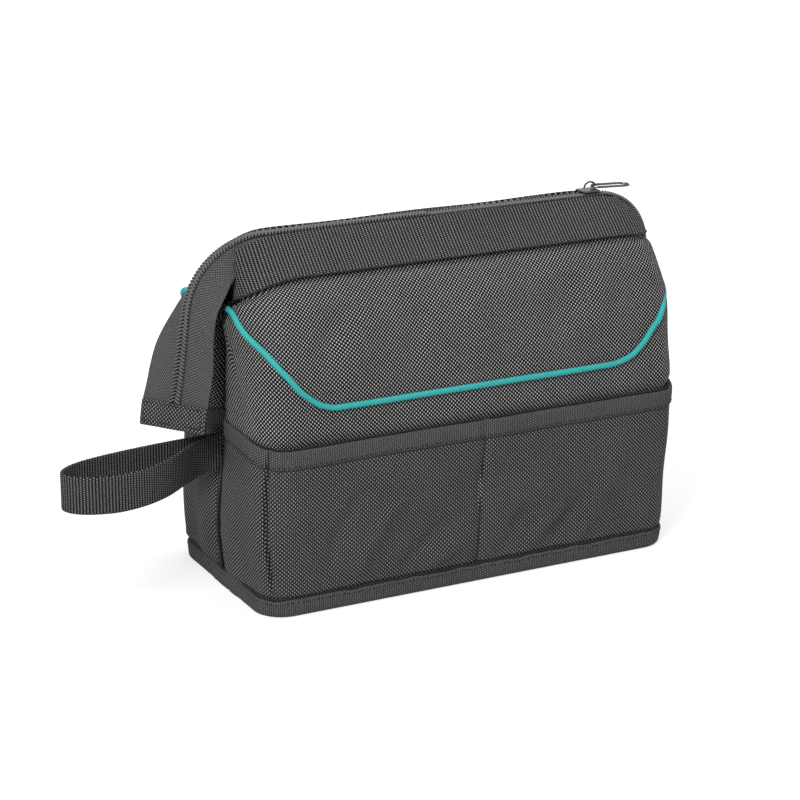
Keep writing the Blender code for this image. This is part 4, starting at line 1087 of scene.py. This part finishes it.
def sew_band(half, word, side):
    """Half of the webbing along the mouth, with a near-black cord of painted shadow under its edge."""
    columns = from_left(side, np.linspace(0, BAND_END, BAND_COLUMNS))
    height = mix(BAND_FOOT, 1.0, np.linspace(0, 1, BAND_ROWS)[:, None])
    height = np.broadcast_to(height, (BAND_ROWS, BAND_COLUMNS))
    way = np.broadcast_to(columns, height.shape)
    swell = BAND_SWELL * np.sin(cloth_map(way, height)[..., 0] * 70 + (0 if half == "front" else 2))
    band = sheet(f"{half}_band_webbing_{word}", on_skin(half, way, height, swell), cloth_map(way, height),
                 THICK["webbing"], band_webbing, turned=half == "back")
    run_tree(band, rib_tree, band_webbing, Pitch=BAND_RIB, Height=BAND_RIB_HEIGHT)
    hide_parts(f"{half}_band", f"{half}_band_{word}_end")
    hold(band)
    # A near-black cord just below the band's foot paints its shadow.
    lower = columns[::3]
    lower = on_skin(half, lower, np.full(len(lower), BAND_FOOT - BAND_SEAM_DROP), 0.0)
    sewn = seam_shade_cord(f"{half}_band_seam_shade_{word}", lower, "band")
    hold(sewn)


# %% Facing tapes
FACING_TOP, FACING_END, FACING_COLUMNS, FACING_ROWS, FACING_DEPTH = 0.965, 0.5, 131, 9, 0.0036


def line_band(half, word, side):
    """Half of the tape behind the webbing."""
    columns = from_left(side, np.linspace(0, FACING_END, FACING_COLUMNS))
    way = np.broadcast_to(columns, (FACING_ROWS, FACING_COLUMNS))
    height = mix(BAND_FOOT, FACING_TOP, np.linspace(0, 1, FACING_ROWS)[:, None]) + 0 * way
    depth = np.full(way.shape, -FACING_DEPTH)
    facing = sheet(f"{half}_facing_tape_{word}", on_skin(half, way, height, depth), cloth_map(way, height),
                   THICK["facing"], binding, turned=half == "back")
    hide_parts(f"{half}_facing")
    hold(facing)


for half in HALVES:
    for word, side in SIDES.items():
        sew_band(half, word, side)
        line_band(half, word, side)

# %% [markdown]
# Each end of the pouch folds inwards between front and back. The gusset is a thin smooth cloth,
# so it creases finely. It is one sheet from the front fold through the valley to the back fold.

# %% Gussets
GUSSET_RISE, GUSSET_LEGS = np.linspace(0.47, 0.975, 61)[:, None], np.linspace(0.885, 1.0, 25)
GUSSET_DEPTH_IN, CREASE = 0.0008, 0.0007
for word, side in SIDES.items():
    lift = -GUSSET_DEPTH_IN + mix(0.0, -0.0016, smooth((GUSSET_RISE - STEP_FOOT) / STEP_RUN))
    way = np.broadcast_to(side * GUSSET_LEGS, (len(GUSSET_RISE), len(GUSSET_LEGS)))
    height = GUSSET_RISE + 0 * way
    place = cloth_map(way, height)
    # Fine creases run across the fold, and die out where the zip presses the cloth flat.
    crease = CREASE * np.sin(place[..., 1] * 190 + place[..., 0] * 260) * smooth((GUSSET_LEGS - 0.90) / 0.04)
    crease = crease * smooth((0.86 - GUSSET_RISE) / 0.05)
    front = on_skin("front", way, height, lift + crease)
    back = on_skin("back", way, height, lift - crease)
    middle = (front[:, -1:] + back[:, -1:]) / 2
    points = np.concatenate([front[:, :-1], middle, back[:, :-1][:, ::-1]], axis=1)
    gusset = sheet(f"{word}_gusset_cloth", points, path_map(points), THICK["gusset"], lining_cloth, turned=side < 0)
    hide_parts(f"{word}_gusset")
    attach(gusset, "pouch")

# %% Lining
LINING_RISE, LINING_WAYS = np.linspace(0.022, 0.530, 41)[:, None], np.linspace(-0.86, 0.86, 141)
LINING_DEPTH, PAST_DIVIDER, LINING_FLOOR_ROWS = 0.0048, 0.09, 11
way = np.broadcast_to(LINING_WAYS, (len(LINING_RISE), len(LINING_WAYS)))
height = LINING_RISE + 0 * way
# The lining hangs free of the divider, as if the wall stood in there too.
clear = np.sign(way + 1e-9) * np.maximum(np.abs(way), PAST_DIVIDER)
depth = behind_pocket(clear, height) - LINING_DEPTH
front, back = on_skin("front", way, height, depth), on_skin("back", way, height, depth)
points = np.concatenate([front, back[:, ::-1]], axis=1)
cloth = path_map(np.concatenate([points, points[:, :1]], axis=1))
sack = sheet("lining_sack", points, cloth, THICK["lining"], lining_cloth, ring=True)
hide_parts("lining")
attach(sack, "pouch")
floor_rows = np.stack([mix(front[0], back[0], share) for share in np.linspace(0, 1, LINING_FLOOR_ROWS)])
floor_cloth = sheet("lining_floor", floor_rows, floor_rows[..., :2], THICK["lining"], lining_cloth)
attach(floor_cloth, "pouch")

# %% [markdown]
# The zip runs over the ridge, bends down at both ends and hangs in a tail with a sewn tab. Its
# middle line is a straight run, an arc and another straight run. Both tails twist to face the
# front, the left one more.

# %% The zip's route
RIDGE_HALF, TAPE_TOP = {-1: 0.100, 1: 0.108}, 0.19478
# Radius and angle of the bend at each end, and the twist of its tail.
BEND = {-1: (0.0460, math.radians(78.0), math.radians(34.0)), 1: (0.0313, math.radians(87.0), math.radians(12.0))}
TAIL_LENGTH = {-1: 0.048, 1: 0.053}
# The tail moves with its own body below this angle of the bend.
BREAK_ANGLE, BREAK_REACH = math.radians(45), 0.016
# The left tail drifts to the front, and its front edge hangs a little higher than its back edge.
TAIL_DRIFT, TAIL_SKEW, SKEW_WAY, SKEW_RUN = {-1: 0.007, 1: 0.0}, {-1: 0.12, 1: 0.0}, 0.04, 0.06

# Both halves of the tape lie flat on the ridge, hang down like a roof from the coil where they
# pass the folded ends, and open flat again on the tails. Way, slope in degrees and half width.
TAPE_SHAPE = {
    -1: ((-0.004, 0, 0.0064), (0.006, 25, 0.0070), (0.014, 58, 0.0100), (0.021, 68, 0.0130), (0.030, 60, 0.0165),
         (0.042, 48, 0.0188), (0.060, 26, 0.0196), (0.080, 6, 0.0203), (0.095, 0, 0.0207)),
    1: ((-0.004, 0, 0.0064), (0.006, 25, 0.0070), (0.014, 52, 0.0100), (0.021, 58, 0.0130), (0.030, 46, 0.0165),
        (0.042, 28, 0.0190), (0.060, 12, 0.0195), (0.080, 0, 0.0200), (0.095, 0, 0.0200)),
}
# The back half of the left corner stands off more, over the corner that sticks out there.
BACK_CORNER_SLOPE = 0.74
# A half bends down a little way from the coil, so that the coil keeps its bed.
BED, BED_SHARE = 0.0032, 0.4


def zip_length(side):
    """Length of the zip past the ridge's end."""
    return BEND[side][0] * BEND[side][1] + TAIL_LENGTH[side]


def zip_break(side):
    """Way from the ridge's end to the place where the tail begins to swing."""
    return BEND[side][0] * BREAK_ANGLE


def zip_place(side, way):
    """Centre, direction to the front edge and outward direction, past the ridge's end."""
    radius, bend, twist = BEND[side]
    angle = min(max(way / radius, 0.0), bend)
    beyond = max(way - radius * bend, 0.0)
    ahead = np.array((side * math.cos(angle), 0.0, -math.sin(angle)))
    out = np.array((side * math.sin(angle), 0.0, math.cos(angle)))
    x = side * (RIDGE_HALF[side] + radius * math.sin(angle))
    centre = np.array((x, 0.0, TAPE_TOP - radius * (1 - math.cos(angle))))
    centre = centre + ahead * min(way, 0.0) + ahead * beyond
    turn = float(smooth((way - zip_break(side)) / (zip_length(side) - zip_break(side))))
    centre[1] -= TAIL_DRIFT[side] * turn
    across = np.array((0.0, -1.0, 0.0))
    tilt = twist * turn
    across, out = across * math.cos(tilt) - out * math.sin(tilt), out * math.cos(tilt) + across * math.sin(tilt)
    skew = TAIL_SKEW[side] * float(smooth((way - SKEW_WAY) / SKEW_RUN))
    across = across - ahead * skew
    return centre, across / np.linalg.norm(across), out


def hold_tail(piece, side):
    """Bakes the piece's placement into its mesh; the two points beside the bend's break are worked out but not used.
    """
    start, end = (zip_place(side, zip_break(side) + reach)[0] for reach in (-BREAK_REACH, BREAK_REACH))
    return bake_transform(piece)


def tape_points(side, ways, toward, spots):
    """Points of one half of the tape: spots are distances from the zip's middle, as shares."""
    rows = []
    for way in ways:
        centre, across, out = zip_place(side, way)
        slope, width = along(TAPE_SHAPE[side], way)
        slope = math.radians(slope) * (BACK_CORNER_SLOPE if side < 0 and toward < 0 else 1.0)
        bed = min(BED, BED_SHARE * width)
        row = []
        for spot in spots:
            flat = min(spot * width, bed)
            hang = spot * width - flat
            row.append(centre + across * toward * (flat + hang * math.cos(slope)) - out * hang * math.sin(slope))
        rows.append(row)
    return np.array(rows)


for word, side in SIDES.items():
    print(f"{word} end of the zip: {1000 * zip_length(side):.0f} mm past the ridge")

# %% Zip tapes
# The ridge's tape and the tail's tape meet here, a little before the end of the ridge.
JOIN = -0.002
TOWARD = {"front": 1.0, "back": -1.0}
TAPE_SPOTS = np.array([0.004, *np.linspace(0.09, 1.0, 16)])
# The tape's free edge ripples a little on the tails.
RIPPLE, RIPPLE_TURNS, RIPPLE_WAY, RIPPLE_RUN = 0.0005, 150, 0.02, 0.03
# The corner's free edge stands off the pouch, and a near-black cord in that gap paints its shadow.
GAP_WAYS, GAP_SPOT = np.linspace(0.004, 0.034, 60), 1.02
for half, toward in TOWARD.items():
    for word, side in SIDES.items():
        name = f"{half}_tape_{word}"
        ridge_ways = np.linspace(-RIDGE_HALF[side], JOIN, 60)
        points = tape_points(side, ridge_ways, toward, TAPE_SPOTS)
        turned = (side < 0) != (half == "back")
        strip = sheet(f"{name}_ridge", points, path_map(points)[..., ::-1], THICK["tape"], tape, turned=turned)
        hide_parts(f"{half}_zip_tape")
        hold(strip)
        tail_ways = np.linspace(JOIN, zip_length(side) + 0.001, 110)
        points = tape_points(side, tail_ways, toward, TAPE_SPOTS)
        ripple = RIPPLE * np.sin(tail_ways * RIPPLE_TURNS + toward)[:, None] * TAPE_SPOTS[None, :] ** 2
        points[..., 0] += ripple * smooth((tail_ways - RIPPLE_WAY) / RIPPLE_RUN)[:, None]
        strip = sheet(f"{name}_tail", points, path_map(points)[..., ::-1], THICK["tape"], tape, turned=turned)
        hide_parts(f"{half}_zip_tape_{word}_corner", f"{half}_zip_tape_{word}_tail")
        hold_tail(strip, side)
        # Painted shadow: a near-black cord under the tape's free edge.
        gap = seam_shade_cord(f"{name}_gap", tape_points(side, GAP_WAYS, toward, [GAP_SPOT])[:, 0], "tape")
        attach(gap, "pouch")

# %% [markdown]
# A nylon coil zip shows as two rows of slanted loops that interlock. Each loop is one long bead,
# placed along the row by the same tree as the stitches but turned across the route, and the two
# rows are shifted by half a pitch.

# %% Zip coils
PITCH, FIRST_TOOTH = 0.0019, {"front": 0.25, "back": 0.75}
# A tooth's distance from the zip's middle, its rise above the tape and its slant.
TOOTH_OUT, TOOTH_RISE, TOOTH_SLANT = 0.00175, 0.0012, 0.60
TOOTH = {"Length": 0.0023, "Width": 0.00060, "Height": 0.0012}
for half, toward in TOWARD.items():
    for word, side in SIDES.items():
        for stretch, low, high in (("ridge", -RIDGE_HALF[side], JOIN), ("tail", JOIN, zip_length(side) - 0.001)):
            centres, leans = [], []
            for way in np.linspace(low + FIRST_TOOTH[half] * PITCH, high, 160):
                centre, across, out = zip_place(side, way)
                ahead = np.cross(out, across) * side
                centres.append(centre + across * toward * TOOTH_OUT + out * TOOTH_RISE)
                leans.append(across * toward + ahead * TOOTH_SLANT)
            row = route_piece(f"{half}_coil_{word}_{stretch}", centres, leans)
            run_tree(row, bead_tree, coil_nylon, Pitch=PITCH, **TOOTH)
            if stretch == "ridge":
                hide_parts(f"{half}_zip_coil")
                hold(row)
            else:
                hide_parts(f"{half}_zip_coil_{word}_corner", f"{half}_zip_coil_{word}_tail")
                hold_tail(row, side)

# %% [markdown]
# The tail ends in a folded scrap of the heavy cloth, sewn through with a box of stitches. It is
# thickest along its lower fold and a little wavy.

# %% End tabs
TAB_HALF_WIDTH, TAB_HALF_HEIGHT, TAB_HALF_THICK = 0.020, 0.0070, 0.0016
# The lower fold is this much thicker, and the ends are pressed thinner by this share.
TAB_FOLD, TAB_PRESS, PRESS_PLACE, PRESS_RUN = 0.0004, 0.25, 0.94, 0.06
# The outline's section is a rounded box: powers of its flat way and of its thickness.
FLAT_POWER, THICK_POWER = 0.30, 0.60
TAB_DROP, TAB_OUT, TAB_WAVE = 0.0073, 0.001, 0.0002
# The box of stitches: share of the tab's half width, upper and lower line, and height over the tab.
BOX_SHARE, BOX_TOP, BOX_FOOT, BOX_OUT = 0.9, 0.0015, 0.0115, 0.0028


def tab_frame(side):
    """Where the tail ends: centre, direction to the front edge, outwards and down."""
    centre, across, out = zip_place(side, zip_length(side))
    return centre, across, out, np.cross(across, out) * -side


def tab_points(side):
    """Rings round the folded scrap, from its back edge to its front edge."""
    centre, across, out, down = tab_frame(side)
    rows = []
    for place in np.linspace(-1, 1, 41):
        close = 1.0 - TAB_PRESS * smooth((abs(place) - PRESS_PLACE) / PRESS_RUN)
        row = []
        for angle in np.linspace(0, 2 * math.pi, 25)[:-1]:
            c, s = math.cos(angle), math.sin(angle)
            flat = math.copysign(abs(c) ** FLAT_POWER, c) * TAB_HALF_HEIGHT
            half_thick = TAB_HALF_THICK + TAB_FOLD * flat / TAB_HALF_HEIGHT
            thick = math.copysign(abs(s) ** THICK_POWER, s) * half_thick * close
            wave = TAB_WAVE * math.sin(place * 5 + flat * 200)
            sideways = across * place * TAB_HALF_WIDTH
            row.append(centre + sideways + down * (TAB_DROP + flat) + out * (TAB_OUT + thick + wave))
        rows.append(row)
    return np.array(rows)


def close_ends(piece):
    """Fills the open rings at both ends of the scrap."""
    work = bmesh.new()
    work.from_mesh(piece.data)
    bmesh.ops.holes_fill(work, edges=[edge for edge in work.edges if edge.is_boundary], sides=0)
    bmesh.ops.recalc_face_normals(work, faces=work.faces)
    work.to_mesh(piece.data)
    work.free()
    piece.data.shade_smooth()


for word, side in SIDES.items():
    points = tab_points(side)
    cloth = path_map(np.concatenate([points, points[:, :1]], axis=1))[..., ::-1]
    tab = grid_piece(f"{word}_tab_cloth", points, cloth, ballistic, turned=side < 0, ring=True)
    close_ends(tab)
    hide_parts(f"{word}_end_tab")
    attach(tab, f"{word}_tail")
    centre, across, out, down = tab_frame(side)
    box = [(-BOX_SHARE, BOX_TOP), (BOX_SHARE, BOX_TOP), (BOX_SHARE, BOX_FOOT), (-BOX_SHARE, BOX_FOOT)]
    route = []
    for (a, b), (c, d) in zip(box, box[1:] + box[:1]):
        for share in np.linspace(0, 1, 14)[:-1]:
            sideways = across * TAB_HALF_WIDTH * mix(a, c, share)
            route.append(centre + sideways + down * mix(b, d, share) + out * BOX_OUT)
    sewn = stitches(f"{word}_tab_stitches", route, **TAB_STITCH)
    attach(sewn, f"{word}_tail")
print("tabs done")

# %% [markdown]
# The hand loop is one strap doubled back into the left seam. Its route is a smooth curve through
# a few points, the strap stands on edge, and the rib tree raises the ribs that show along its
# silhouette.

# %% Hand loop
# Share of the loop's reach to the left and of its belly to the front, from seam to seam.
LOOP_ROUTE = ((0.00, 0.00), (0.12, 0.00), (0.30, 0.01), (0.50, 0.05), (0.70, 0.12), (0.86, 0.22), (0.96, 0.37),
              (1.00, 0.56), (0.97, 0.76), (0.88, 0.92), (0.74, 1.00), (0.58, 0.92), (0.43, 0.72), (0.29, 0.42),
              (0.17, 0.16), (0.08, 0.03), (0.00, 0.00))
LOOP_ROOT = np.array((-0.12732, 0.0, 0.068))
LOOP_REACH, LOOP_BELLY, LOOP_SAG, LOOP_STEPS, LOOP_RIB_HEIGHT = 0.097, 0.037, 0.001, 640, 0.00025
# In the seam the strap's two ends lie side by side, each this far from the middle.
LOOP_LAYER = 0.00095
# Section of the strap: up and sideways.
LOOP_SECTION = ((0.0000, -0.0002), (0.0002, -0.00055), (0.0010, -0.0007), (0.0050, -0.0006), (0.0100, -0.0006),
                (0.0150, -0.0006), (0.0190, -0.0007), (0.0198, -0.00055), (0.0200, -0.0002), (0.0200, 0.0002),
                (0.0198, 0.00055), (0.0190, 0.0007), (0.0150, 0.0006), (0.0100, 0.0006), (0.0050, 0.0006),
                (0.0010, 0.0007), (0.0002, 0.00055), (0.0000, 0.0002))


def smooth_route(points, count):
    """A smooth curve through the points, evenly spaced."""
    points = np.asarray(points, float)
    padded = np.concatenate([2 * points[:1] - points[1:2], points, 2 * points[-1:] - points[-2:-1]])
    curve = []
    for index in range(1, len(padded) - 2):
        a, b, c, d = padded[index - 1 : index + 3]
        for t in np.linspace(0, 1, 24)[:-1]:
            twice = 2 * b + (c - a) * t + (2 * a - 5 * b + 4 * c - d) * t**2 + (3 * b - a - 3 * c + d) * t**3
            curve.append(0.5 * twice)
    curve.append(points[-1])
    curve = np.array(curve)
    run = np.concatenate([[0], np.cumsum(np.linalg.norm(np.diff(curve, axis=0), axis=1))])
    spots = np.linspace(0, run[-1], count)
    return np.stack([np.interp(spots, run, curve[:, axis]) for axis in range(3)], axis=1), run[-1]


spine = []
for index, (reach, belly) in enumerate(LOOP_ROUTE):
    layer = LOOP_LAYER * math.cos(math.pi * index / (len(LOOP_ROUTE) - 1))
    spine.append(LOOP_ROOT + np.array((-LOOP_REACH * reach, layer - LOOP_BELLY * belly, -LOOP_SAG * reach)))
spine, loop_length = smooth_route(spine, LOOP_STEPS)
forward = np.gradient(spine, axis=0)
forward /= np.linalg.norm(forward, axis=1, keepdims=True)
aside = np.cross(forward, (0, 0, 1))
aside /= np.linalg.norm(aside, axis=1, keepdims=True)
points = np.array([spine + aside * off + np.array((0, 0, 1)) * up for up, off in LOOP_SECTION])
points = points.transpose(1, 0, 2)
run = np.linspace(0, loop_length, LOOP_STEPS)[:, None] + np.zeros((1, len(LOOP_SECTION) + 1))
rim = np.array([up for up, _ in LOOP_SECTION] + [0.0])[None, :] + np.zeros((LOOP_STEPS, 1))
loop = grid_piece("hand_loop_strap", points, np.stack([run, rim], axis=2), loop_webbing, ring=True)
run_tree(loop, rib_tree, loop_webbing, Pitch=LOOP_RIB, Height=LOOP_RIB_HEIGHT)
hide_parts("hand_loop")
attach(loop, "loop")
print("hand loop", round(loop_length, 4), "m of strap")

# %% [markdown]
# The slider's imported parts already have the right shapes: two plates, a bridge and a wire pull.
# They keep them and only get the dark metal finish.

# %% Slider and pull
for name in ("slider_body", "slider_bridge", "pull"):
    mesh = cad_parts[name].data
    mesh.materials.clear()
    mesh.materials.append(gunmetal)
    print(f"{name}: {len(mesh.polygons)} faces in {gunmetal.name}")

# %% [markdown]
# A plain pale floor and soft light from all sides. The world is white for the camera and dimmer
# for the object; the floor shows the object's soft shadow.

# %% Floor
FLOOR_HALF, FLOOR_LEVEL = 30, -0.0002
FLOOR_SHADE, FLOOR_SHOWN = (0.72, 0.72, 0.72, 1.0), (0.50, 0.50, 0.50, 1.0)
# The floor gets brighter with the distance from the pouch, so that it runs out into plain white.
GLOW_NEAR, GLOW_FAR, GLOW_LEAST, GLOW_MOST = 0.20, 0.60, 0.64, 0.96
WHITE = (1, 1, 1, 1)


def seen_plainly(tree):
    """1 where the camera looks straight at the surface, in a reflection or through clear matter."""
    rays = add_node(tree, "ShaderNodeLightPath")
    straight = calc(tree, "MAXIMUM", rays.outputs["Is Camera Ray"], rays.outputs["Is Glossy Ray"])
    return calc(tree, "MAXIMUM", straight, rays.outputs["Is Transmission Ray"])


corners = [(x * FLOOR_HALF, y * FLOOR_HALF, FLOOR_LEVEL) for x, y in ((-1, -1), (1, -1), (1, 1), (-1, 1))]
floor_mesh = bpy.data.meshes.new("floor")
floor_mesh.from_pydata(corners, [], [(0, 1, 2, 3)])
floor = bpy.data.objects.new("floor", floor_mesh)
bpy.context.scene.collection.objects.link(floor)
pale = bpy.data.materials.new("pale floor")
pale.use_nodes = True
tree = pale.node_tree
tree.nodes.clear()
seen = seen_plainly(tree)
matt = add_node(tree, "ShaderNodeBsdfDiffuse", {"Color": FLOOR_SHADE})
bright = add_node(tree, "ShaderNodeBsdfDiffuse", {"Color": FLOOR_SHOWN})
place = add_node(tree, "ShaderNodeNewGeometry").outputs["Position"]
distance = add_node(tree, "ShaderNodeVectorMath", {0: place}, operation="LENGTH").outputs["Value"]
glow_range = {"Value": distance, 1: GLOW_NEAR, 2: GLOW_FAR, 3: GLOW_LEAST, 4: GLOW_MOST}
far = add_node(tree, "ShaderNodeMapRange", glow_range)
glow = add_node(tree, "ShaderNodeEmission", {"Color": WHITE, "Strength": far.outputs[0]})
shown = add_node(tree, "ShaderNodeAddShader", {0: bright.outputs[0], 1: glow.outputs[0]})
both = add_node(tree, "ShaderNodeMixShader", {0: seen, 1: matt.outputs[0], 2: shown.outputs[0]})
add_node(tree, "ShaderNodeOutputMaterial", {0: both.outputs[0]})
floor.data.materials.append(pale)
floor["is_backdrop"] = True
print("floor of", 2 * FLOOR_HALF, "m")

# %% World and lamps
WORLD_SHOWN, WORLD_LIGHT = 1.0, 0.26
world = bpy.data.worlds.new("studio")
bpy.context.scene.world = world
world.use_nodes = True
tree = world.node_tree
tree.nodes.clear()
seen = seen_plainly(tree)
white = add_node(tree, "ShaderNodeBackground", {"Color": WHITE, "Strength": WORLD_SHOWN})
soft = add_node(tree, "ShaderNodeBackground", {"Color": WHITE, "Strength": WORLD_LIGHT})
both = add_node(tree, "ShaderNodeMixShader", {0: seen, 1: soft.outputs[0], 2: white.outputs[0]})
add_node(tree, "ShaderNodeOutputWorld", {0: both.outputs[0]})


def softbox(name, place, target, size, power):
    """A square lamp of that size in metres and power in watts, turned to the target."""
    lamp = bpy.data.objects.new(name, bpy.data.lights.new(name, "AREA"))
    lamp.data.size = size
    lamp.data.energy = power
    lamp.location = place
    lamp.rotation_euler = (Vector(target) - Vector(place)).to_track_quat("-Z", "Y").to_euler()
    bpy.context.scene.collection.objects.link(lamp)
    return lamp


MIDDLE = (0, 0, 0.1)
softbox("key", (-1.15, -0.95, 1.2), MIDDLE, size=0.6, power=26)
softbox("top", (0.3, 0.2, 1.6), MIDDLE, size=1.2, power=12)
softbox("fill", (1.3, -0.9, 0.7), MIDDLE, size=1.0, power=5)
bpy.context.scene.view_settings.view_transform = "Standard"

# %% Sizes and the end
low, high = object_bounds()
print("visual box", [round(v, 4) for v in (*low, *high)])
